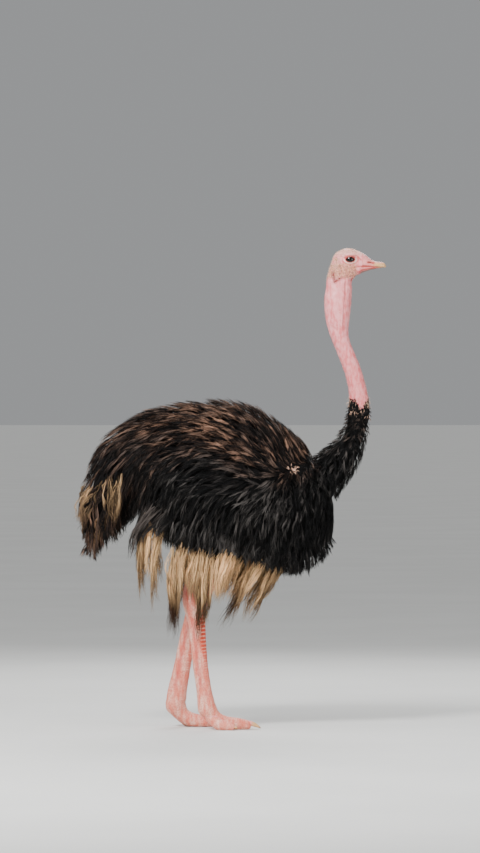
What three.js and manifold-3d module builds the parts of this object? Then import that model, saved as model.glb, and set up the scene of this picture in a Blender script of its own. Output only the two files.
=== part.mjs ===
// A life-size male ostrich of the pink-necked East African race, standing in mid step, as a museum model.
// Millimetres, +Z up, the bird facing +X, its right side towards -Y. The origin is on the floor under the
// centre of its box. Every solid is the outer form of a part, out to the tips of its plumage.
import * as THREE from "three";
import { mergeVertices } from "three/addons/utils/BufferGeometryUtils.js";
import Module from "manifold-3d";

const wasm = await Module();
wasm.setup();

const GAP = 0.3; // left between neighbours that meet
const RIGHT = -1;
const LEFT = 1;

// ---- Driving dimensions -------------------------------------------------------------------------------
// A line row is a station of a limb: [x, y, z, depth, width]. Depth is the half size square to the limb's
// line in the XZ plane, and width is the half size along Y.
// An edge row is a station of a broad form: [x, z of one edge, x, z of the other edge, y, width].

const TRUNK_EDGES = [
  [-448, 1262, -448, 1190, 0, 60],
  [-425, 1358, -430, 1095, 0, 110],
  [-330, 1416, -330, 950, 0, 172],
  [-240, 1433, -240, 860, 0, 212],
  [-110, 1449, -110, 778, 0, 248],
  [0, 1446, 0, 738, 0, 262],
  [100, 1420, 100, 716, 0, 262],
  [200, 1360, 205, 698, 0, 246],
  [288, 1287, 302, 692, 0, 208],
  [346, 1228, 385, 735, 0, 160],
  [396, 1150, 428, 804, 0, 115],
  [438, 1000, 446, 904, 0, 50],
];

const TAIL_EDGES = [
  [-320, 1385, -320, 1110, 0, 110],
  [-400, 1398, -385, 1035, 0, 145],
  [-500, 1328, -415, 1010, 0, 175],
  [-596, 1232, -440, 990, 0, 190],
  [-642, 1090, -462, 935, 0, 182],
  [-673, 1000, -482, 872, 0, 160],
  [-662, 905, -526, 862, 0, 118],
  [-655, 832, -585, 812, 0, 62],
  [-632, 787, -612, 784, 0, 16],
];

const TAIL_PLUME_EDGES = [
  [-430, 1140, -425, 1040, 0, 120],
  [-520, 1090, -450, 1000, 0, 196],
  [-575, 1010, -470, 930, 0, 190],
  [-590, 930, -500, 868, 0, 150],
  [-580, 872, -530, 850, 0, 90],
  [-562, 834, -545, 830, 0, 30],
];

const NECK_ROWS = [
  [300, 0, 1000, 165, 150],
  [392, 0, 1096, 106, 100],
  [474, 0, 1180, 86, 78],
  [526, 0, 1262, 66, 60],
  [553, 0, 1350, 54, 49],
  [559, 0, 1424, 46, 42],
  [554, 0, 1478, 41, 37],
  [543, 0, 1531, 39, 35],
  [527, 0, 1584, 38, 34],
  [506, 0, 1637, 37, 33],
  [485, 0, 1690, 37, 34],
  [470, 0, 1742, 43, 38],
  [464, 0, 1800, 53, 46],
  [465, 0, 1874, 60, 52],
  [470, 0, 1950, 56, 46],
  [479, 0, 2008, 51, 38],
  [490, 0, 2040, 50, 32],
];
const NECK_PARTINGS = [5, 10]; // rows where feathers end, and where the swollen throat begins

// The wings and legs are given for the right side, and are turned to the left by the sign of y.
const WING_EDGES = [
  [286, 1112, 284, 1066, 178, 24],
  [236, 1176, 250, 892, 196, 56],
  [128, 1236, 134, 745, 226, 76],
  [0, 1270, 4, 734, 240, 82],
  [-115, 1268, -105, 742, 236, 82],
  [-225, 1222, -190, 780, 218, 76],
  [-320, 1120, -250, 815, 192, 64],
  [-385, 990, -295, 830, 172, 48],
  [-412, 880, -360, 838, 160, 30],
  [-446, 764, -432, 752, 156, 9],
];
const WING_DRAPE = 66; // how far the wing's two edges are drawn in towards the flank, at its deepest
const WING_DEEP = 268; // the half size of the deepest station, which takes the whole drape

const WING_PLUMES = [
  [
    [-345, 160, 890, 44, 34],
    [-368, 160, 800, 42, 32],
    [-388, 159, 700, 32, 24],
    [-398, 158, 630, 18, 15],
    [-402, 158, 566, 4, 4],
  ],
  [
    [-308, 166, 880, 36, 30],
    [-318, 166, 790, 34, 26],
    [-328, 165, 690, 24, 18],
    [-324, 164, 600, 12, 10],
    [-318, 164, 534, 3, 3],
  ],
];

const BELLY_PLUMES = [
  [
    [70, 0, 800, 150, 150],
    [72, 0, 715, 142, 146],
    [34, 0, 612, 98, 122],
    [20, 0, 556, 64, 92],
    [16, 0, 516, 30, 50],
  ],
  [
    [60, -34, 640, 72, 62],
    [40, -44, 560, 44, 42],
    [52, -50, 490, 22, 22],
    [62, -52, 436, 4, 4],
  ],
  [
    [10, 40, 660, 70, 70],
    [-8, 50, 580, 48, 48],
    [-30, 54, 500, 22, 22],
    [-44, 56, 438, 4, 4],
  ],
];

const THIGH_PLUMES = [
  [
    [-170, 128, 800, 92, 70],
    [-176, 126, 715, 92, 66],
    [-196, 124, 612, 76, 56],
    [-222, 122, 540, 50, 38],
    [-240, 120, 480, 28, 24],
    [-246, 120, 436, 5, 5],
  ],
  [
    [-110, 140, 740, 70, 52],
    [-122, 142, 640, 58, 44],
    [-134, 142, 540, 34, 30],
    [-146, 142, 450, 18, 16],
    [-148, 142, 372, 4, 4],
  ],
];

// Each leg's stations start at the knee, inside the body, and end at the root of the toes.
const LEGS = {
  right: {
    side: RIGHT,
    thigh: [
      [30, 150, 960, 100, 84],
      [-30, 140, 850, 98, 78],
      [-94, 125, 745, 80, 62],
      [-140, 110, 660, 60, 46],
      [-166, 100, 592, 50, 38],
      [-171, 98, 560, 49, 37],
    ],
    shank: [
      [-171, 98, 559, 49, 37],
      [-165, 97, 520, 44, 33],
      [-155, 96, 466, 39, 30],
      [-149, 95, 387, 35, 27],
      [-138, 95, 277, 33, 26],
      [-125, 95, 185, 33, 27],
      [-116, 95, 128, 37, 31],
      [-108, 95, 88, 42, 36],
      [-100, 95, 60, 33, 31],
    ],
  },
  left: {
    side: LEFT,
    thigh: [
      [84, 148, 960, 100, 84],
      [14, 138, 850, 98, 78],
      [-56, 120, 745, 80, 62],
      [-110, 104, 660, 60, 46],
      [-141, 92, 598, 50, 38],
      [-150, 88, 568, 48, 37],
    ],
    shank: [
      [-150, 88, 567, 48, 37],
      [-158, 87, 530, 44, 33],
      [-176, 86, 466, 39, 30],
      [-197, 86, 387, 37, 28],
      [-218, 85, 277, 38, 28],
      [-238, 85, 180, 42, 31],
      [-246, 85, 130, 46, 34],
      [-248, 85, 92, 46, 37],
      [-243, 85, 60, 36, 32],
    ],
  },
};

// Toes, in each foot's own frame: forward from the root joint, with the floor at z 0.
const THIRD_TOE = {
  turn: 0,
  toe: [
    [-6, 0, 84, 33, 31],
    [28, 0, 58, 32, 28],
    [60, 0, 33, 34, 28],
    [100, 0, 27, 29, 28],
    [142, 0, 24, 26, 27],
    [178, 0, 19, 21, 22],
    [192, 0, 16, 12, 14],
  ],
  claw: [
    [160, 0, 27, 15, 15],
    [188, 0, 26, 14, 14],
    [212, 0, 18, 10, 10],
    [234, 0, 6, 2.5, 4],
  ],
};
const FOURTH_TOE = {
  turn: 26, // degrees, outwards
  toe: [
    [0, 4, 72, 25, 21],
    [28, 5, 44, 24, 21],
    [58, 4, 24, 25, 21],
    [96, 2, 19, 21, 19],
    [122, 0, 13, 15, 15],
    [132, 0, 12, 8, 9],
  ],
  claw: [
    [116, 0, 16, 7, 6.5],
    [134, 0, 14, 6, 5.5],
    [147, 0, 8, 2, 2],
  ],
};

// The head's stations run forward from the nape. The first edge is the crown, the second the jaw.
const HEAD_EDGES = [
  [439, 2060, 434, 2030, 0, 18],
  [452, 2084, 444, 1996, 0, 31],
  [476, 2101, 470, 1966, 0, 38],
  [504, 2110, 506, 1956, 0, 42],
  [530, 2108, 534, 1976, 0, 41],
  [554, 2099, 554, 1994, 0, 37],
  [588, 2084, 588, 2007, 0, 31],
];
const BILL_TOP = [
  [552, 2099, 37],
  [586, 2085, 32],
  [608, 2069, 28],
  [624, 2057, 24],
  [646, 2051, 19],
  [664, 2048, 14],
  [676, 2037, 5],
]; // [x, z of the ridge, half width]
const BILL_KEEL = [
  [552, 1993, 35],
  [580, 2005, 30],
  [612, 2016, 25],
  [644, 2023, 18],
  [660, 2026, 13],
  [669, 2028, 6],
]; // [x, z of the underside, half width]
const MOUTH = { z: 2032, fall: 0.03, start: 560, gap: 1 }; // the line where the two halves of the bill meet
const BILL_START = 568;

const EYE = { x: 519, y: 23, z: 2061, radius: 25, inner: 3 }; // inner: the flat back, off the mid plane
const EAR = { x: 474, y: 34, z: 2028, radius: 11, thickness: 6 };

const COLOUR = {
  backPlumage: [0x2a1d19, 0.8],
  wingPlumage: [0x14131a, 0.75],
  palePlumage: [0xb79e78, 0.85],
  skin: [0xd99a98, 0.6],
  legSkin: [0xd98f86, 0.6],
  horn: [0xc9a777, 0.35],
  eye: [0x1a0f0a, 0.05],
};

// ---- Making solids ------------------------------------------------------------------------------------

/** Row values at t, by a uniform Catmull-Rom curve: t is 0 at the first row and rows.length - 1 at the last. */
function along(rows, t) {
  const i = Math.min(Math.floor(t), rows.length - 2);
  const f = t - i;
  const row = (k) => rows[Math.min(Math.max(k, 0), rows.length - 1)];
  return rows[0].map((_, c) => {
    const [a, b, d, e] = [-1, 0, 1, 2].map((k) => row(i + k)[c]);
    return b + 0.5 * f * (d - a + f * (2 * a - 5 * b + 4 * d - e + f * (3 * (b - d) + e - a)));
  });
}

/** A closed indexed geometry from rings of points, with a fan to the middle of each end. */
function closeRings(rings) {
  const sides = rings[0].length;
  const points = rings.flat();
  const faces = [];
  const at = (i, j) => i * sides + (j % sides);
  for (let i = 0; i < rings.length - 1; i++)
    for (let j = 0; j < sides; j++) {
      faces.push(at(i, j), at(i + 1, j), at(i + 1, j + 1));
      faces.push(at(i, j), at(i + 1, j + 1), at(i, j + 1));
    }
  for (const [ring, flip] of [[0, true], [rings.length - 1, false]]) {
    const middle = rings[ring].reduce((sum, p) => sum.add(p), new THREE.Vector3());
    points.push(middle.divideScalar(sides));
    for (let j = 0; j < sides; j++) {
      const [a, b] = flip ? [at(ring, j), at(ring, j + 1)] : [at(ring, j + 1), at(ring, j)];
      faces.push(points.length - 1, a, b);
    }
  }
  return new THREE.BufferGeometry().setFromPoints(points).setIndex(faces);
}

/** A three.js geometry as a solid whose faces point out. */
function solidOf(geometry) {
  const bare = geometry.clone();
  bare.deleteAttribute("normal");
  bare.deleteAttribute("uv");
  const merged = mergeVertices(bare, 1e-4);
  const vertProperties = new Float32Array(merged.attributes.position.array);
  const triVerts = new Uint32Array(merged.index.array);
  const make = () => new wasm.Manifold(new wasm.Mesh({ numProp: 3, vertProperties, triVerts }));
  const solid = make();
  if (solid.volume() > 0) return solid;
  for (let i = 0; i < triVerts.length; i += 3)
    [triVerts[i + 1], triVerts[i + 2]] = [triVerts[i + 2], triVerts[i + 1]];
  return make();
}

/** A line row's ring at t: its middle, and the half size square to the line as a vector in the XZ plane. */
function lineRing(rows, t, upright, grow) {
  const [x, y, z, depth, width] = along(rows, t);
  const before = along(rows, Math.max(t - 0.05, 0));
  const after = along(rows, Math.min(t + 0.05, rows.length - 1));
  const line = new THREE.Vector2(after[0] - before[0], after[2] - before[2]).normalize();
  const normal = upright ? new THREE.Vector2(0, 1) : new THREE.Vector2(-line.y, line.x);
  return { middle: [x, z], half: normal.multiplyScalar(depth + grow), line, y, width: width + grow };
}

/** An edge row's ring at t, which reaches from one edge to the other. */
function edgeRing(rows, t, grow) {
  const [x1, z1, x2, z2, y, width] = along(rows, t);
  const half = new THREE.Vector2((x1 - x2) / 2, (z1 - z2) / 2);
  const line = new THREE.Vector2(half.y, -half.x).normalize();
  half.setLength(half.length() + grow);
  return { middle: [(x1 + x2) / 2, (z1 + z2) / 2], half, line, y, width: width + grow };
}

/**
 * The solid swept along line rows or edge rows. Options: side, the sign that y takes; sides of a ring;
 * steps between rows; grow, added all round; drape, how far a ring's two edges are drawn in towards the
 * mid plane; upright, for line rings that stay vertical; square, the exponent of the ring's superellipse;
 * from and to, the part of the rows that is used.
 */
function sweep(rows, options = {}) {
  const { side = RIGHT, sides = 16, steps = 2, grow = 0, drape = 0, upright = false } = options;
  const { square = 2, from = 0, to = rows.length - 1 } = options;
  const count = Math.max(2, Math.round((to - from) * steps));
  const rings = [];
  for (let k = 0; k <= count; k++) {
    const t = from + ((to - from) * k) / count;
    const edged = rows[0].length === 6;
    const ring = edged ? edgeRing(rows, t, grow) : lineRing(rows, t, upright, grow);
    const drawnIn = drape * Math.min(1, ring.half.length() / WING_DEEP);
    const points = [];
    for (let j = 0; j < sides; j++) {
      const angle = (2 * Math.PI * j) / sides;
      const bent = (v) => Math.sign(v) * Math.abs(v) ** (2 / square);
      const up = bent(Math.cos(angle));
      const out = bent(Math.sin(angle)) * ring.width - drawnIn * Math.cos(angle) ** 2;
      const [x, z] = ring.middle;
      points.push(new THREE.Vector3(x + ring.half.x * up, side * (ring.y + out), z + ring.half.y * up));
    }
    rings.push(points);
  }
  return solidOf(closeRings(lengthen(rings, grow)));
}

/** Rings with the first and the last moved outwards by grow, away from the rings next to them. */
function lengthen(rings, grow) {
  const middle = (ring) =>
    ring.reduce((sum, p) => sum.add(p), new THREE.Vector3()).divideScalar(ring.length);
  const last = rings.length - 1;
  for (const [end, next] of [[0, 1], [last, last - 1]]) {
    const away = middle(rings[end]).sub(middle(rings[next])).setLength(grow);
    for (const p of rings[end]) p.add(away);
  }
  return rings;
}

/** One solid from several that overlap. */
const join = (solids) => solids.reduce((whole, s) => whole.add(s));

/** The largest piece that is left of a solid once all the others are cut out of it. */
function cut(solid, others) {
  const left = others.reduce((rest, s) => rest.subtract(s), solid);
  return left.decompose().reduce((best, s) => (s.volume() > best.volume() ? s : best));
}

/** A box solid from its lowest and highest corners. */
function block(low, high) {
  const size = high.map((v, i) => v - low[i]);
  const middle = high.map((v, i) => (v + low[i]) / 2);
  return solidOf(new THREE.BoxGeometry(...size).translate(...middle));
}

/** An ellipsoid solid with the given centre and half sizes. */
function ellipsoid(centre, radii, segments = 20) {
  const ball = new THREE.SphereGeometry(1, segments, Math.round(segments * 0.6));
  return solidOf(ball.rotateX(Math.PI / 2).scale(...radii).translate(...centre));
}

const BELOW_FLOOR = block([-900, -900, -400], [900, 900, 0]);

// ---- The bird's parts ---------------------------------------------------------------------------------

const trunk = (grow) => sweep(TRUNK_EDGES, { sides: 20, steps: 1.5, grow, square: 2.15 });

const wing = (side, grow) => sweep(WING_EDGES, { side, sides: 12, steps: 1.5, grow, drape: WING_DRAPE });

const tailPlumes = (grow) => sweep(TAIL_PLUME_EDGES, { sides: 10, steps: 1, grow });

const neckLength = (from, to) => sweep(NECK_ROWS, { sides: 12, steps: 1.5, from, to });

/** The head without its bill: an egg-shaped skull with full cheeks. */
const skull = (grow) => sweep(HEAD_EDGES, { sides: 16, grow, square: 2.1 });

/**
 * One half of the bill. Rows give [x, z of its outer line, half width], and the ring is the part of an
 * ellipse on that side of the mouth line.
 */
function billHalf(rows, up) {
  const steps = 2;
  const half = 7;
  const rings = [];
  for (let k = 0; k <= (rows.length - 1) * steps; k++) {
    const [x, outer, width] = along(rows, k / steps);
    const mouth = MOUTH.z - MOUTH.fall * (x - MOUTH.start) + (up ? MOUTH.gap : -MOUTH.gap) / 2;
    const height = up ? Math.max(outer - mouth, 1) : Math.max(mouth - outer, 1);
    const ring = [];
    for (let j = 0; j <= half; j++) {
      const angle = (Math.PI * j) / half;
      const lift = Math.sin(angle) ** 0.8 * height;
      ring.push(new THREE.Vector3(x, Math.cos(angle) * width, up ? mouth + lift : mouth - lift));
    }
    rings.push(ring);
  }
  return solidOf(closeRings(rings));
}

/** An eyeball, with its back cut flat so that the two don't meet inside the head. */
function eye(side, grow) {
  const ball = ellipsoid([EYE.x, side * EYE.y, EYE.z], Array(3).fill(EYE.radius + grow), 12);
  const inner = side * (EYE.inner - grow);
  const [low, high] = side === RIGHT ? [inner, 60] : [-60, inner];
  return cut(ball, [block([EYE.x - 60, low, EYE.z - 60], [EYE.x + 60, high, EYE.z + 60])]);
}

/** The patch of short bristles round an ear opening. */
const ear = (side) =>
  ellipsoid([EAR.x, side * EAR.y, EAR.z], [EAR.radius, EAR.thickness, EAR.radius * 1.15], 10);

/** A toe or claw of a leg, swept in the foot's frame, turned outwards and put at the leg's root joint. */
function digit(leg, kind, rows, grow = 0) {
  const [x, y] = leg.shank[leg.shank.length - 2];
  const fine = rows === kind.toe ? { sides: 10, steps: 1.5 } : { sides: 8, steps: 1 };
  const solid = sweep(rows, { side: leg.side, grow, ...fine });
  return solid
    .rotate([0, 0, leg.side * kind.turn])
    .translate([x, leg.side * y, 0]);
}

const bodyGrown = trunk(GAP);
const skullGrown = skull(GAP);
const nodes = new Map(); // name: [solid, colour]

nodes.set("trunk", [trunk(0), COLOUR.backPlumage]);

const wings = { right: cut(wing(RIGHT, 0), [bodyGrown]), left: cut(wing(LEFT, 0), [bodyGrown]) };
const wingsGrown = [wing(RIGHT, GAP), wing(LEFT, GAP)];
for (const [name, solid] of Object.entries(wings))
  nodes.set(`wing_${name}`, [solid, COLOUR.wingPlumage]);

nodes.set("tail_plumes", [cut(tailPlumes(0), [bodyGrown, ...wingsGrown]), COLOUR.palePlumage]);
nodes.set("tail", [
  cut(sweep(TAIL_EDGES, { sides: 12, steps: 1 }), [bodyGrown, ...wingsGrown, tailPlumes(GAP)]),
  COLOUR.backPlumage,
]);

// The neck in three lengths, parted by thin cuts where its covering changes.
const lastRow = NECK_ROWS.length - 1;
const [featherEnd, throatStart] = NECK_PARTINGS;
const CUT = 0.004; // a thin cut, as a share of the space between two rows
nodes.set("neck_base", [
  cut(neckLength(0, featherEnd - CUT), [bodyGrown, ...wingsGrown]),
  COLOUR.wingPlumage,
]);
nodes.set("neck_middle", [neckLength(featherEnd + CUT, throatStart - CUT), COLOUR.skin]);
nodes.set("neck_upper", [
  cut(neckLength(throatStart + CUT, lastRow), [skullGrown]),
  COLOUR.skin,
]);

const billFront = block([BILL_START + GAP, -80, 1950], [760, 80, 2150]);
const billHalves = { upper: billHalf(BILL_TOP, true), lower: billHalf(BILL_KEEL, false) };
const eyes = { right: RIGHT, left: LEFT };
const headCuts = [
  block([BILL_START, -80, 1950], [760, 80, 2150]),
  ...Object.values(eyes).map((side) => eye(side, GAP)),
];
nodes.set("head", [cut(skull(0), headCuts), COLOUR.skin]);
for (const [name, solid] of Object.entries(billHalves))
  nodes.set(`${name}_bill`, [solid.intersect(billFront), COLOUR.horn]);
for (const [name, side] of Object.entries(eyes)) {
  nodes.set(`eye_${name}`, [eye(side, 0), COLOUR.eye]);
  nodes.set(`ear_${name}`, [cut(ear(side), [skullGrown]), COLOUR.palePlumage]);
}

const limbsGrown = [];
for (const [name, leg] of Object.entries(LEGS)) {
  const { side } = leg;
  const limb = (rows, grow = 0) =>
    sweep(rows, { side, sides: rows === leg.thigh ? 10 : 12, steps: 1.5, grow });
  const shankGrown = limb(leg.shank, GAP);
  const thigh = cut(limb(leg.thigh), [bodyGrown, ...wingsGrown, shankGrown]);
  nodes.set(`thigh_${name}`, [thigh, COLOUR.legSkin]);
  nodes.set(`shank_${name}`, [limb(leg.shank), COLOUR.legSkin]);
  limbsGrown.push(limb(leg.thigh, GAP), shankGrown);

  const thirdGrown = digit(leg, THIRD_TOE, THIRD_TOE.toe, GAP);
  const fourthGrown = digit(leg, FOURTH_TOE, FOURTH_TOE.toe, GAP);
  const third = cut(digit(leg, THIRD_TOE, THIRD_TOE.toe), [shankGrown, BELOW_FLOOR]);
  const fourth = cut(digit(leg, FOURTH_TOE, FOURTH_TOE.toe), [shankGrown, thirdGrown, BELOW_FLOOR]);
  nodes.set(`third_toe_${name}`, [third, COLOUR.legSkin]);
  nodes.set(`fourth_toe_${name}`, [fourth, COLOUR.legSkin]);
  const claws = { third: [THIRD_TOE, thirdGrown], fourth: [FOURTH_TOE, fourthGrown] };
  for (const [toe, [kind, grown]] of Object.entries(claws))
    nodes.set(`${toe}_claw_${name}`, [
      cut(digit(leg, kind, kind.claw), [grown, BELOW_FLOOR]),
      COLOUR.horn,
    ]);
}

// Pale plumes hang from under the body, the thighs and the wings. Each set is one joined solid.
const hanging = (sets, side, grow = 0) => join(sets.map((rows) => sweep(rows, { side, sides: 7, steps: 1, grow })));
const bellyGrown = hanging(BELLY_PLUMES, RIGHT, GAP);
nodes.set("belly_plumes", [
  cut(hanging(BELLY_PLUMES, RIGHT), [bodyGrown, ...wingsGrown, ...limbsGrown]),
  COLOUR.palePlumage,
]);
for (const [name, { side }] of Object.entries(LEGS)) {
  const around = [bodyGrown, ...wingsGrown, ...limbsGrown, bellyGrown];
  nodes.set(`thigh_plumes_${name}`, [cut(hanging(THIGH_PLUMES, side), around), COLOUR.palePlumage]);
  nodes.set(`wing_plumes_${name}`, [cut(hanging(WING_PLUMES, side), around), COLOUR.palePlumage]);
}

// ---- The model ----------------------------------------------------------------------------------------

/** A named mesh of a solid, with faceted shading left to three.js. */
function meshOf(name, solid, [colour, roughness]) {
  const { vertProperties, triVerts, numProp } = solid.getMesh();
  const geometry = new THREE.BufferGeometry();
  geometry.setAttribute("position", new THREE.BufferAttribute(new Float32Array(vertProperties), numProp));
  geometry.setIndex(new THREE.BufferAttribute(new Uint32Array(triVerts), 1));
  geometry.computeVertexNormals();
  const mesh = new THREE.Mesh(
    geometry,
    new THREE.MeshStandardMaterial({ color: colour, roughness, metalness: 0 }),
  );
  mesh.name = name;
  return mesh;
}

const ostrich = new THREE.Group();
for (const [name, [solid, colour]] of nodes) ostrich.add(meshOf(name, solid, colour));

// The origin goes to the middle of the box's underside.
const box = new THREE.Box3().setFromObject(ostrich);
const middle = box.getCenter(new THREE.Vector3());
ostrich.position.set(-middle.x, -middle.y, -box.min.z);

export default ostrich;
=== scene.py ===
"""A life-size male ostrich, standing in mid step: bare pink neck, head and legs, black and brown plumage.

All shapes are drawn in millimetres, facing +X with the right side towards -Y and the floor at z 0, and are
put into the frame in metres. The plumage lies on smooth forms that are swept along the body, and each
feather is a bundle of thin solid barbs that follows the lie of the coat.
"""

from __future__ import annotations

import logging
import math
from collections.abc import Callable, Sequence
from dataclasses import dataclass, field
from enum import Enum

import bpy
import numpy as np
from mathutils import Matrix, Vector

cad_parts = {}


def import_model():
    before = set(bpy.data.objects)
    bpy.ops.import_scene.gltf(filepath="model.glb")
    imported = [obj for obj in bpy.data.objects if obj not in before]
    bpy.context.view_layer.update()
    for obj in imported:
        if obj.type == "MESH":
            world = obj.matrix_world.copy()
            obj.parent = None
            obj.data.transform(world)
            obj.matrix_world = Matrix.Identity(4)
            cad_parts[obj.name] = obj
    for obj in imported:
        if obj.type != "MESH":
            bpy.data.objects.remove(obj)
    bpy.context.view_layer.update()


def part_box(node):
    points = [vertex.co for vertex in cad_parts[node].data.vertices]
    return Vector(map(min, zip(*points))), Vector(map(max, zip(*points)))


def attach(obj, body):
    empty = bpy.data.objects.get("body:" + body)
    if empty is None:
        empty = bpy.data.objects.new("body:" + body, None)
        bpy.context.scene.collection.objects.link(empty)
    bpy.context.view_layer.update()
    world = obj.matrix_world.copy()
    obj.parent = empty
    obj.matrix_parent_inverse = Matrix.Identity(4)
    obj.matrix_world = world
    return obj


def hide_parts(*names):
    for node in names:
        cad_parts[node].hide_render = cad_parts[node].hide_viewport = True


Array = np.ndarray
Numbers = dict[str, np.ndarray]  # numbers for each vertex, by name
Rows = Sequence[Sequence[float]]
Field = Callable[[np.ndarray], np.ndarray]  # a number for each drawn point
Weight = Callable[[np.ndarray, np.ndarray], np.ndarray]  # a number for each row of two arrays
Random = np.random.Generator
Tree = bpy.types.NodeTree
Node = bpy.types.Node
Socket = bpy.types.NodeSocket
Material = bpy.types.Material
Piece = bpy.types.Object

LOG = logging.getLogger("ostrich")
MM = 0.001
TURN = 2 * math.pi
DOWN = np.array([0.0, 0.0, -1.0])
DRAWN_EYE_X = 519.0  # where the eyes lie in the drawing; the frame's eyes give the drawing's shift
DRAWN_EYE_Z = 2060.0
MOUTH_Z = 2032.0
MOUTH_FALL = 0.03
MOUTH_START = 560.0


class Side(Enum):
    """The bird's sides, as the sign of y."""

    RIGHT = -1
    LEFT = 1

    @property
    def label(self) -> str:
        """The side's word in piece and node names."""
        return self.name.lower()


# ---- Numbers and arrays ----


def unit(v: Array) -> Array:
    """Vectors divided by their lengths."""
    return v / np.maximum(np.linalg.norm(v, axis=-1, keepdims=True), 1e-12)


def smooth(low: float, high: float, v: Array) -> Array:
    """0 below low, 1 above high, and 3t^2 - 2t^3 between; high may be the lower number."""
    t = np.clip((v - low) / (high - low), 0.0, 1.0)
    return t * t * (3.0 - 2.0 * t)


def bell(gap: Array, width: float) -> Array:
    """1 where the gap is 0, falling off on both sides as exp(-(gap / width)^2)."""
    return np.exp(-((gap / width) ** 2))


def hill(x: Array, z: Array, middle_x: float, middle_z: float, wide: float, tall: float) -> Array:
    """A round hill of height 1, seen from the side: exp(-(dx / wide)^2 - (dz / tall)^2)."""
    return np.exp(-(((x - middle_x) / wide) ** 2) - ((z - middle_z) / tall) ** 2)


def near_line(x: Array, z: Array, *ends: float) -> Array:
    """Distance, seen from the side, to a straight line between two ends.

    Args:
        x: where the places are along X.
        z: their heights.
        ends: the ends x1, z1, x2, z2.

    Returns:
        The distances.
    """
    a, b = np.array(ends[:2], float), np.array(ends[2:], float)
    p = np.stack([x, z], -1) - a
    t = np.clip((p @ (b - a)) / ((b - a) @ (b - a)), 0.0, 1.0)
    return np.linalg.norm(p - t[..., None] * (b - a), axis=-1)


def stroke(x: Array, z: Array, *line_width: float) -> Array:
    """1 along a line x1, z1, x2, z2, falling off as exp(-(distance / width)^2), with the width last."""
    return bell(near_line(x, z, *line_width[:4]), line_width[4])


def signed_power(v: Array, exponent: float) -> Array:
    """|v| to a power, with the sign of v."""
    return np.sign(v) * np.abs(v) ** exponent


def curve(rows: Array, t: Array) -> Array:
    """Rows of values at t by a uniform Catmull-Rom curve.

    Args:
        rows: one row of values for each station.
        t: 0 at the first station and the number of stations less one at the last.

    Returns:
        The values at t, in a new last axis.
    """
    t = np.clip(np.asarray(t, float), 0.0, len(rows) - 1 - 1e-9)
    i = np.floor(t).astype(int)
    f = (t - i)[..., None]
    a, b, d, e = (rows[np.clip(i + k, 0, len(rows) - 1)] for k in (-1, 0, 1, 2))
    return b + 0.5 * f * (d - a + f * (2 * a - 5 * b + 4 * d - e + f * (3 * (b - d) + e - a)))


def ripple(p: Array, pitch: float, seed: float = 0.0) -> Array:
    """A smooth uneven field between about -1 and 1: a sum of three sine waves in slanted directions.

    Args:
        p: places.
        pitch: the length of the longest wave.
        seed: shifts the waves.

    Returns:
        The field's numbers.
    """
    x, y, z = (np.moveaxis(p, -1, 0) / pitch) * TURN
    one = np.sin(0.9 * x + 0.35 * z + 0.2 * y + seed)
    two = np.sin(0.31 * x - 1.07 * z + 0.45 * y + 2.1 * seed)
    three = np.sin(1.7 * x + 1.3 * z - 0.9 * y + 4.7 * seed)
    return (one + two + 0.6 * three) / 2.6


def grid(s: Array, columns: int) -> tuple[Array, Array]:
    """Stations down the rows and the angles of one full turn along them, as two arrays of one shape."""
    return np.broadcast_arrays(s[:, None], np.linspace(-math.pi, math.pi, columns, endpoint=False)[None])


# ---- Swept forms ----


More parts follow.
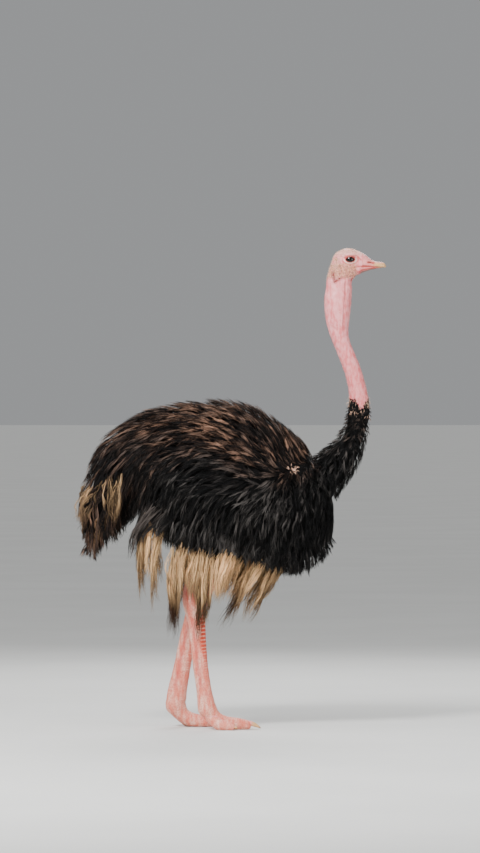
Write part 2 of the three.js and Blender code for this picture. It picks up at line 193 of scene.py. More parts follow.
@dataclass
class Form:
    """A form swept along stations: [x, z of one edge, x, z of the other, y, half width, swell of the flank].

    A ring starts at the first edge (angle 0) and turns to the left side: half pi is +Y, pi the other edge.
    The ring is a superellipse, and the swell is added to its width round the angle swell_at.
    """

    rows: Array
    square: float = 2.0
    swell_at: float = 1.85
    swell_spread: float = 0.6

    @property
    def last(self) -> float:
        """The parameter of the last station."""
        return len(self.rows) - 1.0

    def point(self, s: Array, a: Array, inset: Array | float = 0.0) -> Array:
        """Places on the form.

        Args:
            s: station parameter.
            a: angle round the ring.
            inset: how far inside the outer form the place lies, at most 0.7 of the half sizes.

        Returns:
            Middle of the edges + cos(a)^(2/q) * half edge vector + sin(a)^(2/q) * half width along Y.
        """
        x1, z1, x2, z2, y, width, swell = np.moveaxis(curve(self.rows, s), -1, 0)
        hx, hz = (x1 - x2) / 2, (z1 - z2) / 2
        shrink = 1 - np.minimum(inset / np.maximum(np.hypot(hx, hz), 1e-6), 0.7)
        narrow = np.maximum(width - inset, 0.3 * width)
        up = signed_power(np.cos(a), 2 / self.square) * shrink
        bump = swell * bell(np.abs(a) - self.swell_at, self.swell_spread)
        out = signed_power(np.sin(a), 2 / self.square) * narrow + bump * np.sin(a)
        return np.stack([(x1 + x2) / 2 + hx * up, y + out, (z1 + z2) / 2 + hz * up], -1)

    def tangents(self, s: Array, a: Array) -> tuple[Array, Array, Array]:
        """Directions on the form, by central differences.

        Args:
            s: station parameter.
            a: angle round the ring.

        Returns:
            The change of place with s, its change with a, and the outward normal.
        """
        e = 0.02
        low, high = np.clip(s - e, 0, self.last), np.clip(s + e, 0, self.last)
        along = (self.point(high, a) - self.point(low, a)) / (high - low)[..., None]
        round_ = (self.point(s, a + e) - self.point(s, a - e)) / (2 * e)
        x1, z1, x2, z2, y, *_ = np.moveaxis(curve(self.rows, s), -1, 0)
        out = self.point(s, a) - np.stack([(x1 + x2) / 2, y, (z1 + z2) / 2], -1)
        normal = unit(np.cross(round_, along))
        return along, round_, normal * np.sign(np.sum(normal * out, -1, keepdims=True) + 1e-9)

    def scatter(self, stations: tuple[float, float], tries: int, count: int,
                weigh: Weight, rng: Random) -> tuple[Array, Array]:
        """Random places on the form, kept in proportion to their share of the surface and a weight.

        Args:
            stations: the first and the last station parameter.
            tries: how many places are drawn.
            count: how many of them are kept.
            weigh: the weight at a station and an angle.
            rng: the source of the places.

        Returns:
            The station and the angle of each place kept.
        """
        s = rng.uniform(*stations, tries)
        a = rng.uniform(-math.pi, math.pi, tries)
        along, round_, _ = self.tangents(s, a)
        weight = np.linalg.norm(np.cross(along, round_), axis=1) * weigh(s, a)
        pick = rng.choice(tries, count, replace=False, p=weight / weight.sum())
        return s[pick], a[pick]


def edges_of(lines: Rows) -> Array:
    """Stations with edges, square to a line.

    Args:
        lines: line stations [x, y, z, depth, width].

    Returns:
        Edge stations: the line's place plus and minus its depth, across the line in the XZ plane.
    """
    rows = np.array(lines, float)
    n = np.arange(len(rows))
    line = unit((rows[np.minimum(n + 1, n[-1])] - rows[np.maximum(n - 1, 0)])[:, [0, 2]])
    half = np.stack([-line[:, 1], line[:, 0]], -1) * rows[:, 3:4]
    one, two = rows[:, [0, 2]] + half, rows[:, [0, 2]] - half
    return np.column_stack([one, two, rows[:, 1], rows[:, 4], np.zeros(len(rows))])


def station_rows(edges: Rows) -> Array:
    """Edge stations as an array, with a swell of 0 where none is given."""
    return np.array([list(r) + [0.0] * (7 - len(r)) for r in edges], float)


# ---- Meshes ----


class Drawing:
    """Puts drawn millimetres into the frame's metres and makes mesh objects."""

    def __init__(self) -> None:
        """Reads the drawing's shift along X from the frame's right eye."""
        low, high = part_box("eye_right")
        self.shift = (low[0] + high[0]) / 2 - DRAWN_EYE_X * MM

    def metres(self, p: Array) -> Array:
        """Drawn points in the frame, in metres."""
        return p * MM + np.array([self.shift, 0.0, 0.0])

    def mesh(self, name: str, points: Array, faces: Sequence[Array]) -> Piece:
        """A smooth-shaded mesh object.

        Args:
            name: the piece's name.
            points: drawn points, one row each.
            faces: arrays of vertex numbers, one row for each face, each array of one face size.

        Returns:
            The object, at the origin and linked to the scene.
        """
        mesh = bpy.data.meshes.new(name)
        corners = np.concatenate([f.ravel() for f in faces])
        sizes = np.concatenate([np.full(len(f), f.shape[1]) for f in faces])
        mesh.vertices.add(len(points))
        mesh.vertices.foreach_set("co", self.metres(points).astype(np.float32).ravel())
        mesh.loops.add(len(corners))
        mesh.loops.foreach_set("vertex_index", corners.astype(np.int32))
        mesh.polygons.add(len(sizes))
        mesh.polygons.foreach_set("loop_start", (np.cumsum(sizes) - sizes).astype(np.int32))
        mesh.polygons.foreach_set("use_smooth", np.ones(len(sizes), bool))
        mesh.update(calc_edges=True)
        mesh.validate()
        return link(name, mesh)

    def tube(self, name: str, rings: Array, values: Numbers) -> Piece:
        """A closed tube that holds numbers; each end's middle point takes the first number of its ring.

        Args:
            name: the piece's name.
            rings: drawn points (rings, sides, 3).
            values: numbers (rings, sides), by name.

        Returns:
            The object.
        """
        obj = self.mesh(name, *closed_tube(rings))
        set_values(obj, **{k: np.concatenate([v.ravel(), v[0, :1], v[-1, :1]]) for k, v in values.items()})
        return obj


def link(name: str, data: bpy.types.ID) -> Piece:
    """A new object in the scene.

    Args:
        name: the object's name.
        data: the mesh, light or camera.

    Returns:
        The object.
    """
    obj = bpy.data.objects.new(name, data)
    bpy.context.scene.collection.objects.link(obj)
    return obj


def places_of(mesh: bpy.types.Mesh) -> Array:
    """Reads the places of a mesh's vertices.

    Args:
        mesh: the mesh.

    Returns:
        The places in metres, one row each.
    """
    p = np.zeros(len(mesh.vertices) * 3, np.float32)
    mesh.vertices.foreach_get("co", p)
    return p.reshape(-1, 3).astype(float)


def set_values(obj: Piece, **fields: Array) -> None:
    """Writes numbers for each vertex as named attributes that the materials read.

    Args:
        obj: the piece.
        fields: the numbers by name.
    """
    for name, values in fields.items():
        layer = obj.data.attributes.new(name, "FLOAT", "POINT")
        layer.data.foreach_set("value", np.asarray(values, np.float32).ravel())


def closed_tube(rings: Array) -> tuple[Array, list[Array]]:
    """A tube of rings, each end closed by a fan to its middle point.

    Args:
        rings: points (rings, sides, 3).

    Returns:
        The points, with the two middle points last, and the outward faces.
    """
    count, sides = rings.shape[:2]
    points = np.concatenate([rings.reshape(-1, 3), rings[[0, -1]].mean(1)])
    i, j = np.arange(count - 1)[:, None] * sides, np.arange(sides)[None]
    k = (j + 1) % sides
    quads = np.stack([i + j, i + k, i + sides + k, i + sides + j], -1).reshape(-1, 4)
    j, k, end, centre = j[0], k[0], (count - 1) * sides, np.full(sides, count * sides)
    caps = np.concatenate([np.stack([centre, k, j], -1), np.stack([centre + 1, end + j, end + k], -1)])
    triangles = np.concatenate([quads[:, [0, 1, 2]], quads[:, [0, 2, 3]], caps])
    a, b, c = (points[triangles[:, n]] for n in range(3))
    if np.einsum("ij,ij->i", a, np.cross(b, c)).sum() < 0:
        quads, caps = quads[:, ::-1], caps[:, ::-1]
    return points, [quads, caps]


def ring_of_rings(rings: Array) -> tuple[Array, list[Array]]:
    """A tube that closes on itself.

    Args:
        rings: points (rings, sides, 3).

    Returns:
        The points and the outward faces.
    """
    count, sides = rings.shape[:2]
    i, j = np.arange(count)[:, None], np.arange(sides)[None]
    n, k = (i + 1) % count, (j + 1) % sides
    corners = np.broadcast_arrays(i * sides + j, i * sides + k, n * sides + k, n * sides + j)
    quads = np.stack(corners, -1).reshape(-1, 4)
    points = rings.reshape(-1, 3)
    centre = rings.mean(1).repeat(sides, 0)
    a, b, c = (points[quads[:, m]] for m in (0, 1, 2))
    facing = np.einsum("ij,ij->i", np.cross(b - a, c - a), a - centre[quads[:, 0]])
    return points, [quads if facing.sum() > 0 else quads[:, ::-1]]


def unite(objects: list[Piece]) -> Piece:
    """Joins objects by boolean unions.

    Args:
        objects: closed shells that overlap.

    Returns:
        The first object, with all the others joined to it as one mesh.
    """
    whole, *others = objects
    for other in others:
        union = whole.modifiers.new("union", "BOOLEAN")
        union.operation = "UNION"
        union.solver = "MANIFOLD"
        union.object = other
    bpy.context.view_layer.update()
    result = bpy.data.meshes.new_from_object(whole.evaluated_get(bpy.context.evaluated_depsgraph_get()))
    whole.modifiers.clear()
    whole.data = result
    for other in others:
        bpy.data.objects.remove(other)
    LOG.info("%s: united from %d shells, %d faces", whole.name, len(objects), len(result.polygons))
    return whole


def soften(obj: Piece, centre: Array, radius: float, passes: int) -> None:
    """Moves vertices towards the mean of their neighbours, except on the sole.

    Args:
        obj: the object.
        centre: where the vertices move most, in metres.
        radius: how far from there the last ones move.
        passes: how many times they move.
    """
    mesh = obj.data
    p = places_of(mesh)
    edges = np.zeros(len(mesh.edges) * 2, np.int32)
    mesh.edges.foreach_get("vertices", edges)
    a, b = edges.reshape(-1, 2).T
    near = smooth(radius, radius * 0.35, np.linalg.norm(p - centre, axis=1))
    weight = (near * smooth(0.0015, 0.006, p[:, 2]))[:, None]
    count = np.bincount(a, minlength=len(p)) + np.bincount(b, minlength=len(p))
    for _ in range(passes):
        sums = [np.bincount(a, p[b, k], len(p)) + np.bincount(b, p[a, k], len(p)) for k in range(3)]
        p += 0.6 * weight * (np.stack(sums, -1) / np.maximum(count, 1)[:, None] - p)
    mesh.vertices.foreach_set("co", p.astype(np.float32).ravel())
    mesh.update()


def finish_piece(obj: Piece, material: Material, nodes: Sequence[str] = ()) -> None:
    """Dresses a piece and tells the frame about it.

    Args:
        obj: the piece.
        material: its finish.
        nodes: the frame's nodes that the piece replaces.
    """
    obj.data.materials.clear()
    obj.data.materials.append(material)
    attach(obj, "root")
    if nodes:
        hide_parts(*nodes)
    LOG.info("%s: %d vertices, %d triangles", obj.name, len(obj.data.vertices),
             len(obj.data.loops) - 2 * len(obj.data.polygons))


# ---- Shader nodes ----


class Nodes:
    """Short calls that lay out one shader tree's nodes. A value may be a number, a colour or a socket."""

    def __init__(self, tree: Tree) -> None:
        """Starts from a tree, whose nodes are kept."""
        self.tree = tree

    def add(self, kind: str, **settings: object) -> Node:
        """A new node of a kind, with its settings.

        Args:
            kind: the type, without "ShaderNode".
            settings: its own settings.

        Returns:
            The node.
        """
        node = self.tree.nodes.new("ShaderNode" + kind)
        for key, value in settings.items():
            setattr(node, key, value)
        return node

    def put(self, socket: Socket, value: object) -> None:
        """Links a socket into an input, or sets the input's own value.

        Args:
            socket: the input.
            value: a socket, a number, a vector or a colour.
        """
        if isinstance(value, Socket):
            self.tree.links.new(value, socket)
        elif isinstance(value, (tuple, list)) and socket.type == "RGBA":
            socket.default_value = (*value[:3], 1.0)
        else:
            socket.default_value = value

    def fill(self, node: Node, **values: object) -> Node:
        """Puts values into a node's inputs.

        Args:
            node: the node.
            values: a value for each input, its name's spaces as underscores.

        Returns:
            The node.
        """
        for key, value in values.items():
            self.put(node.inputs[key.replace("_", " ")], value)
        return node

    def feed(self, node: Node, *values: object) -> Node:
        """Puts values into a node's inputs in their order.

        Args:
            node: the node.
            values: a value for each input.

        Returns:
            The node.
        """
        for socket, value in zip(node.inputs, values):
            self.put(socket, value)
        return node

    def math(self, operation: str, *values: object, clamp: bool = False) -> Socket:
        """The result of a Math node."""
        return self.feed(self.add("Math", operation=operation, use_clamp=clamp), *values).outputs[0]

    def times(self, one: object, two: object) -> Socket:
        """One value multiplied by another."""
        return self.math("MULTIPLY", one, two)

    def vector(self, operation: str, *values: object) -> Node:
        """A Vector Math node."""
        return self.feed(self.add("VectorMath", operation=operation), *values)

    def mix(self, factor: object, one: object, two: object, blend: str = "MIX") -> Socket:
        """The colour of a Mix node.

        Args:
            factor: how much of the second colour.
            one: the first colour.
            two: the second colour.
            blend: how they blend.

        Returns:
            The mixed colour.
        """
        node = self.add("Mix", data_type="RGBA", blend_type=blend)
        for k, value in zip((0, 6, 7), (factor, one, two)):
            self.put(node.inputs[k], value)
        return node.outputs[2]

    def step(self, value: object, low: object, high: object, start: float = 0.0, end: float = 1.0) -> Socket:
        """A smooth Map Range node's result: start at low to end at high."""
        node = self.add("MapRange", interpolation_type="SMOOTHSTEP")
        return self.fill(node, Value=value, From_Min=low, From_Max=high, To_Min=start, To_Max=end).outputs[0]

    def attribute(self, name: str) -> Socket:
        """The number that the mesh holds for each vertex under a name."""
        return self.add("Attribute", attribute_name=name).outputs["Fac"]

    def place(self, scale: Sequence[float] = (1, 1, 1)) -> Socket:
        """Object coordinates through a Mapping node.

        Args:
            scale: the scale along each axis.

        Returns:
            The scaled coordinates.
        """
        mapping = self.add("Mapping")
        mapping.inputs["Scale"].default_value = scale
        self.put(mapping.inputs["Vector"], self.add("TexCoord").outputs["Object"])
        return mapping.outputs[0]

    def noise(self, vector: object, scale: float, detail: float = 3.0, rough: float = 0.55) -> Socket:
        """A noise texture's value."""
        node = self.add("TexNoise")
        return self.fill(node, Vector=vector, Scale=scale, Detail=detail, Roughness=rough).outputs[0]

    def cells(self, vector: object, scale: object) -> Socket:
        """A Voronoi texture's distance from the middle of its cells."""
        return self.fill(self.add("TexVoronoi", feature="F1"), Vector=vector, Scale=scale).outputs["Distance"]

    def group(self, tree: Tree, **values: object) -> dict[str, Socket]:
        """A node group with its inputs set; gives its outputs by name."""
        return dict(self.fill(self.add("Group", node_tree=tree), **values).outputs.items())

    def bump(self, height: object, distance: float, strength: float) -> Socket:
        """A Bump node's normal."""
        return self.fill(self.add("Bump"), Height=height, Distance=distance, Strength=strength).outputs[0]


def new_group(name: str, inputs: dict, outputs: dict[str, str]) -> tuple[Nodes, dict, Node]:
    """An empty shader node group.

    Args:
        name: the group's name.
        inputs: each input's name with its default number, vector or colour.
        outputs: each output's name with its socket type.

    Returns:
        The group's node calls, its input sockets by name, and its output node.
    """
    tree = bpy.data.node_groups.new(name, "ShaderNodeTree")
    for key, value in inputs.items():
        kind = "Float" if isinstance(value, float) else "Color" if len(value) == 4 else "Vector"
        socket = tree.interface.new_socket(key, in_out="INPUT", socket_type=f"NodeSocket{kind}")
        socket.default_value = value
    for key, kind in outputs.items():
        tree.interface.new_socket(key, in_out="OUTPUT", socket_type=f"NodeSocket{kind}")
    start, end = tree.nodes.new("NodeGroupInput"), tree.nodes.new("NodeGroupOutput")
    return Nodes(tree), {key: start.outputs[key] for key in inputs}, end


class Effects:
    """The shader node groups that several finishes share, each built once."""

    def __init__(self) -> None:
        """Builds the groups."""
        self.spot = self._spot()
        self.plume = self._plume()
        self.pores = self._pores()

    @staticmethod
    def _spot() -> Tree:
        """A soft egg-shaped mask on both sides of the bird: 1 inside, 0 outside, with an uneven edge.

        Returns:
            The group: smooth step of |(place, with |y|, - centre) / size| + unevenness * noise, round 1.
        """
        nodes, given, end = new_group(
            "soft_spot",
            {"Centre": (0.0, 0.0, 0.0), "Size": (1.0, 1.0, 1.0), "Softness": 0.5, "Unevenness": 0.3},
            {"Mask": "Float"},
        )
        place = nodes.add("TexCoord").outputs["Object"]
        one, other = nodes.add("SeparateXYZ"), nodes.add("SeparateXYZ")
        nodes.put(one.inputs[0], place)
        nodes.put(other.inputs[0], nodes.vector("ABSOLUTE", place).outputs[0])
        folded = nodes.fill(nodes.add("CombineXYZ"), X=one.outputs[0], Y=other.outputs[1], Z=one.outputs[2])
        away = nodes.vector("SUBTRACT", folded.outputs[0], given["Centre"]).outputs[0]
        scaled = nodes.vector("DIVIDE", away, given["Size"]).outputs[0]
        length = nodes.vector("LENGTH", scaled).outputs["Value"]
        uneven = nodes.times(nodes.math("SUBTRACT", nodes.noise(place, 90.0), 0.5), given["Unevenness"])
        inner, outer = (nodes.math(sign, 1.0, given["Softness"]) for sign in ("SUBTRACT", "ADD"))
        nodes.put(end.inputs["Mask"], nodes.step(nodes.math("ADD", length, uneven), inner, outer, 1.0, 0.0))
        return nodes.tree

    @staticmethod
    def _plume() -> Tree:
        """The plumage's colour, from the numbers that its meshes hold: tone, pale, shade, along and ends.

        Returns:
            The group: black to brown by tone, to pale by pale, painted highlight and shade by shade, dark at
                the ends.
        """
        nodes, given, end = new_group(
            "plumage_colour",
            {
                # each plain colour is followed by its painted highlight colour, which strands of high shade
                # take
                "Black": (0.0014, 0.0012, 0.0011, 1.0),
                "Black Gloss": (0.046, 0.041, 0.038, 1.0),
                "Brown": (0.011, 0.005, 0.0032, 1.0),
                "Brown Gloss": (0.235, 0.13, 0.085, 1.0),
                "Pale": (0.55, 0.345, 0.15, 1.0),
                "Ends": (0.045, 0.02, 0.009, 1.0),
            },
            {"Color": "Color", "Roughness": "Float"},
        )
        shade = nodes.attribute("shade")
        # painted highlight: the higher a strand's shade, the more it takes the highlight colour
        lit = nodes.step(shade, 0.25, 1.0)
        black, brown = (nodes.mix(lit, given[name], given[name + " Gloss"]) for name in ("Black", "Brown"))
        dark = nodes.mix(nodes.attribute("tone"), black, brown)
        colour = nodes.mix(nodes.attribute("pale"), dark, given["Pale"])
        # painted light and shade: the colour is scaled from 0.12 to 1.75 by the shade
        level = nodes.fill(nodes.add("MapRange"), Value=shade, To_Min=0.12, To_Max=1.75).outputs[0]
        grey = nodes.fill(nodes.add("CombineColor"), Red=level, Green=level, Blue=level).outputs[0]
        colour = nodes.mix(1.0, colour, grey, "MULTIPLY")
        tip = nodes.times(nodes.step(nodes.attribute("along"), 0.42, 0.72), nodes.attribute("ends"))
        nodes.fill(end, Color=nodes.mix(tip, colour, given["Ends"]),
                   Roughness=nodes.step(shade, 0.0, 1.0, 0.62, 0.38))
        return nodes.tree

    @staticmethod
    def _pores() -> Tree:
        """Fine grain of skin and horn.

        Returns:
            The group: a height of small cells and streaks, and the streaks alone as a mottle.
        """
        nodes, given, end = new_group(
            "fine_grain",
            {"Vector": (0.0, 0.0, 0.0), "Cell Scale": 400.0, "Streak Scale": 120.0},
            {"Height": "Float", "Mottle": "Float"},
        )
        cells = nodes.cells(given["Vector"], given["Cell Scale"])
        streaks = nodes.noise(given["Vector"], given["Streak Scale"], 4.0, 0.5)
        nodes.fill(end, Height=nodes.math("ADD", nodes.times(cells, 0.6), streaks), Mottle=streaks)
        return nodes.tree


def new_material(name: str) -> tuple[Material, Nodes, Node]:
    """A node material, with a Principled shader linked to the output.

    Args:
        name: its name.

    Returns:
        The material, its node calls and its Principled shader.
    """
    material = bpy.data.materials.new(name)
    material.use_nodes = True
    return material, Nodes(material.node_tree), material.node_tree.nodes["Principled BSDF"]


@dataclass(frozen=True)
class Plumage:
    """Soft feathers: dull, with a faint sheen along their edges."""

    name: str
    pale: tuple = (0.72, 0.46, 0.235)
    # the painted highlight colour of lit brown strands
    brown_gloss: tuple = (0.235, 0.13, 0.085)
    sheen: float = 0.012
    specular: float = 0.15

    def material(self, effects: Effects) -> Material:
        """The finish as a material.

        Args:
            effects: the shared node groups.

        Returns:
            The material.
        """
        material, nodes, shader = new_material(self.name)
        plume = nodes.group(effects.plume, Pale=self.pale, Brown_Gloss=self.brown_gloss)
        nodes.fill(shader, Base_Color=plume["Color"], Roughness=plume["Roughness"])
        nodes.fill(shader, Specular_IOR_Level=self.specular, Sheen_Weight=self.sheen, Sheen_Roughness=0.4,
                   Sheen_Tint=(0.9, 0.92, 1.0))
        return material


@dataclass(frozen=True)
class Skin:
    """Bare pink skin with flushed places, coral scutes, some painted shade and, under the coat, the coat's
    colours in painted shade.
    """

    name: str = "bare_skin"
    pale_pink: tuple = (0.86, 0.345, 0.355)
    pink: tuple = (0.72, 0.165, 0.175)
    flush: tuple = (0.50, 0.055, 0.045)
    deep_red: tuple = (0.2, 0.025, 0.018)
    down: tuple = (0.64, 0.33, 0.175)
    down_shadow: tuple = (0.26, 0.105, 0.06)
    coral: tuple = (0.56, 0.045, 0.018)
    leg_pink: tuple = (0.76, 0.225, 0.15)
    leg_pale: tuple = (0.88, 0.55, 0.43)
    lid: tuple = (0.86, 0.62, 0.54)

    def material(self, effects: Effects, drawing: Drawing) -> Material:
        """The finish as a material: each mark of the skin's mesh lays its colour over those before it.

        Args:
            effects: the shared node groups.
            drawing: puts the throat's pale spot in its place.

        Returns:
            The material.
        """
        material, nodes, shader = new_material(self.name)
        grain = nodes.group(effects.pores, Vector=nodes.place((1.0, 1.0, 0.35)), Cell_Scale=420.0,
                            Streak_Scale=95.0)
        colour = nodes.mix(nodes.step(grain["Mottle"], 0.35, 0.7), self.pale_pink, self.pink)
        colour = nodes.mix(nodes.times(nodes.attribute("flush"), 0.85), colour, self.flush)
        throat = nodes.group(effects.spot, Centre=tuple(drawing.metres(np.array([468, 50, 1880]))),
                             Size=(22 * MM, 30 * MM, 75 * MM), Softness=0.5, Unevenness=0.2)["Mask"]
        colour = nodes.mix(nodes.times(throat, 0.45), colour, self.pale_pink)
        mottle = nodes.noise(nodes.place(), 150.0, 4.0, 0.7)
        tan = nodes.mix(nodes.step(mottle, 0.42, 0.6), self.down_shadow, self.down)
        colour = nodes.mix(nodes.times(nodes.attribute("face"), 0.95), colour, tan)
        # deep red: dark marks by the ear, and painted shade along the jaw and under the chin by the bill
        colour = nodes.mix(nodes.attribute("deep"), colour, self.deep_red)
        colour = nodes.mix(nodes.attribute("lid"), colour, self.lid)
        leg = nodes.attribute("leg")
        streak = nodes.noise(nodes.place((1.0, 1.0, 0.25)), 60.0, 4.0)
        leg_colour = nodes.mix(nodes.step(streak, 0.35, 0.75), self.leg_pink, self.leg_pale)
        scales = nodes.times(nodes.cells(nodes.place(), 190.0), leg)
        leg_colour = nodes.mix(nodes.step(scales, 0.45, 0.75, 0.0, 0.4), leg_colour, self.flush)
        leg_colour = nodes.mix(nodes.attribute("scute"), leg_colour, self.coral)
        colour = nodes.mix(leg, colour, leg_colour)
        # painted shade in the leg's hollows and below the thigh plumes, with dark seams and blotches, in the
        # flush colour
        colour = nodes.mix(nodes.times(nodes.attribute("hollow"), 0.8), colour, self.flush)
        cover = nodes.attribute("cover")
        # under the coat: the plumage colour, darkened as painted shade by the low shade that the skin holds
        colour = nodes.mix(cover, colour, nodes.group(effects.plume)["Color"])
        gloss = nodes.step(grain["Mottle"], 0.2, 0.8, 0.62, 0.46)
        gloss = nodes.math("SUBTRACT", gloss, nodes.times(cover, 0.6))
        fluff = nodes.times(nodes.noise(nodes.place(), 260.0, 4.0, 0.7), cover)
        height = nodes.math("ADD", grain["Height"], nodes.times(scales, -2.2))
        height = nodes.math("ADD", height, nodes.times(fluff, 9.0))
        nodes.fill(shader, Base_Color=colour, Roughness=nodes.math("SUBTRACT", 1.0, gloss, clamp=True),
                   Normal=nodes.bump(height, 0.0009, 0.7))
        shader.inputs["Specular IOR Level"].default_value = 0.26
        return material


@dataclass(frozen=True)
class Horn:
    """Bill and nails: pink at the root, yellowish horn towards the tip, red along the mouth's edge, painted
    shade under the lower bill and in the nostril.
    """

    name: str
    root: tuple = (0.81, 0.285, 0.275)
    horn: tuple = (0.67, 0.385, 0.165)
    edge: tuple = (0.48, 0.036, 0.022)
    # dark horn for the mottle and the nails' tips, and painted shade under the bill and in the nostril
    shadow: tuple = (0.11, 0.04, 0.022)

    def material(self, effects: Effects) -> Material:
        """The finish as a material.

        Args:
            effects: the shared node groups.

        Returns:
            The material.
        """
        material, nodes, shader = new_material(self.name)
        grain = nodes.group(effects.pores, Vector=nodes.place((0.25, 1.0, 1.0)), Cell_Scale=260.0,
                            Streak_Scale=240.0)
        colour = nodes.mix(nodes.attribute("horn"), self.root, self.horn)
        colour = nodes.mix(nodes.step(grain["Mottle"], 0.45, 0.75, 0.0, 0.35), colour, self.shadow)
        colour = nodes.mix(nodes.attribute("edge"), colour, self.edge)
        # dark: painted shade under the lower bill and in the nostril slit, and the nails' darker tips
        colour = nodes.mix(nodes.attribute("dark"), colour, self.shadow)
        nodes.fill(shader, Base_Color=colour, Roughness=nodes.step(grain["Mottle"], 0.2, 0.8, 0.3, 0.5),
                   Normal=nodes.bump(grain["Height"], 0.0004, 0.6))
        shader.inputs["Specular IOR Level"].default_value = 0.5
        return material


@dataclass(frozen=True)
class EyeGloss:
    """A wet, very dark brown eye: black pupil, brown iris with fine spokes, darker rim."""

    name: str = "wet_eye"
    pupil: tuple = (0.002, 0.0015, 0.0015)
    iris: tuple = (0.016, 0.007, 0.004)
    rim: tuple = (0.006, 0.003, 0.002)

    def material(self) -> Material:
        """The finish, by the distance from the eye's axis that the mesh holds as axis_gap.

        Returns:
            The material.
        """
        material, nodes, shader = new_material(self.name)
        gap = nodes.attribute("axis_gap")
        spokes = nodes.noise(nodes.place((1.0, 0.02, 1.0)), 900.0, 4.0)
        iris = nodes.mix(nodes.step(spokes, 0.3, 0.7), self.iris, tuple(v * 0.45 for v in self.iris))
        colour = nodes.mix(nodes.step(gap, 0.36, 0.42), self.pupil, iris)
        colour = nodes.mix(nodes.step(gap, 0.66, 0.82), colour, self.rim)
        nodes.fill(shader, Base_Color=colour, Roughness=0.12, Specular_IOR_Level=0.3, Coat_Weight=0.22,
                   Coat_Roughness=0.03)
        return material


# ---- The bird's forms ----

BODY = Form(station_rows([
    [-632, 787, -612, 784, 0, 16], [-655, 832, -585, 812, 0, 62], [-662, 905, -526, 862, 0, 118],
    [-673, 1000, -482, 872, 0, 160], [-642, 1090, -462, 935, 0, 182], [-596, 1232, -440, 990, 0, 188, 0],
    [-500, 1328, -415, 1010, 0, 180, 20], [-405, 1388, -375, 1000, 0, 176, 58],
    [-330, 1416, -330, 950, 0, 184, 78], [-240, 1433, -240, 860, 0, 212, 80],
    [-110, 1449, -110, 778, 0, 248, 68], [0, 1446, 0, 738, 0, 262, 58], [100, 1420, 100, 716, 0, 262, 42],
    [200, 1360, 205, 698, 0, 246, 26], [288, 1287, 302, 692, 0, 208, 6], [346, 1228, 385, 735, 0, 160],
    [396, 1150, 428, 804, 0, 115], [430, 1050, 443, 870, 0, 70], [442, 985, 446, 935, 0, 28],
]), square=2.15)
BODY_DEPTH = 42.0  # how deep the coat is over the flesh of the body

NECK_LINES = [
    [300, 0, 1000, 165, 150], [392, 0, 1096, 106, 100], [474, 0, 1180, 86, 78], [526, 0, 1262, 66, 60],
    [553, 0, 1350, 54, 49], [559, 0, 1424, 46, 42], [554, 0, 1478, 41, 37], [543, 0, 1531, 39, 35],
    [527, 0, 1584, 38, 34], [506, 0, 1637, 37, 33], [485, 0, 1690, 37, 34], [470, 0, 1742, 43, 38],
    [464, 0, 1800, 53, 46], [465, 0, 1874, 60, 52], [470, 0, 1932, 58, 48],
]
HEAD_EDGES = [
    [417, 1980, 526, 1948, 0, 43], [426, 2012, 529, 1966, 0, 41], [436, 2044, 533, 1974, 0, 41],
    [452, 2083, 537, 1979, 0, 42], [476, 2101, 541, 1984, 0, 42.5], [504, 2110, 546, 1989, 0, 42],
    [530, 2108, 552, 1993, 0, 40], [554, 2099, 560, 1997, 0, 36.5], [574, 2090, 574, 2003, 0, 33],
]
NECK = Form(np.vstack([edges_of(NECK_LINES), station_rows(HEAD_EDGES)]), square=2.08)
NECK_STATIONS = len(NECK_LINES)
FEATHER_END = 5.0  # the neck station where the feathers end

BILL_TOP = np.array([  # [x, height of the ridge, half width]
    [552, 2099, 37], [566, 2094, 35], [586, 2083, 31.5], [602, 2069, 28.5], [614, 2059, 26],
    [632, 2052, 22.5], [650, 2050.5, 19.5], [662, 2048.5, 16.5], [671, 2044.5, 12.5], [676, 2038, 7],
], float)
BILL_KEEL = np.array([  # [x, height of the underside, half width]
    [552, 1993, 36], [566, 1999, 33.5], [580, 2005, 30.5], [612, 2016, 25.5], [644, 2022.5, 18.5],
    [658, 2025, 14.5], [665, 2026.5, 9], [668, 2027.5, 5],
], float)
BILL_ARCH = 0.82  # exponents of the arch that a half of the bill makes over the mouth line
BILL_FLANK = 0.92
BILL_MIDDLE = 0.87  # the mean of the two

LEG_LINES = {
    Side.RIGHT: [
        [30, 150, 960, 100, 84], [-30, 140, 850, 98, 78], [-94, 125, 745, 80, 62], [-140, 110, 660, 60, 46],
        [-166, 100, 592, 50, 38], [-169, 98, 556, 47, 36], [-162, 97, 510, 42, 32], [-154, 96, 456, 38, 29],
        [-149, 95, 387, 35, 27], [-138, 95, 277, 33, 26], [-125, 95, 185, 33, 27], [-116, 95, 128, 37, 31],
        [-108, 95, 90, 41, 35],
    ],
    Side.LEFT: [
        [84, 148, 960, 100, 84], [14, 138, 850, 98, 78], [-56, 120, 745, 80, 62], [-110, 104, 660, 60, 46],
        [-141, 92, 598, 50, 38], [-152, 88, 560, 47, 36], [-162, 87, 515, 42, 32], [-177, 86, 460, 38, 29],
        [-197, 86, 387, 36, 28], [-218, 85, 277, 37, 28], [-238, 85, 180, 41, 31], [-246, 85, 130, 44, 34],
        [-248, 85, 92, 45, 37],
    ],
}
THIRD_TOE = [
    [28, 0, 56, 32, 29], [60, 0, 34, 31, 28], [100, 0, 27, 28, 28], [142, 0, 24, 25, 27],
    [178, 0, 19, 20, 22], [191, 0, 16, 12, 14],
]
FOURTH_TOE = [
    [-4, 2, 70, 24, 20], [28, 5, 44, 24, 21], [58, 4, 24, 25, 21], [96, 2, 19, 21, 19],
    [122, 0, 13, 15, 15], [131, 0, 12, 8, 9],
]
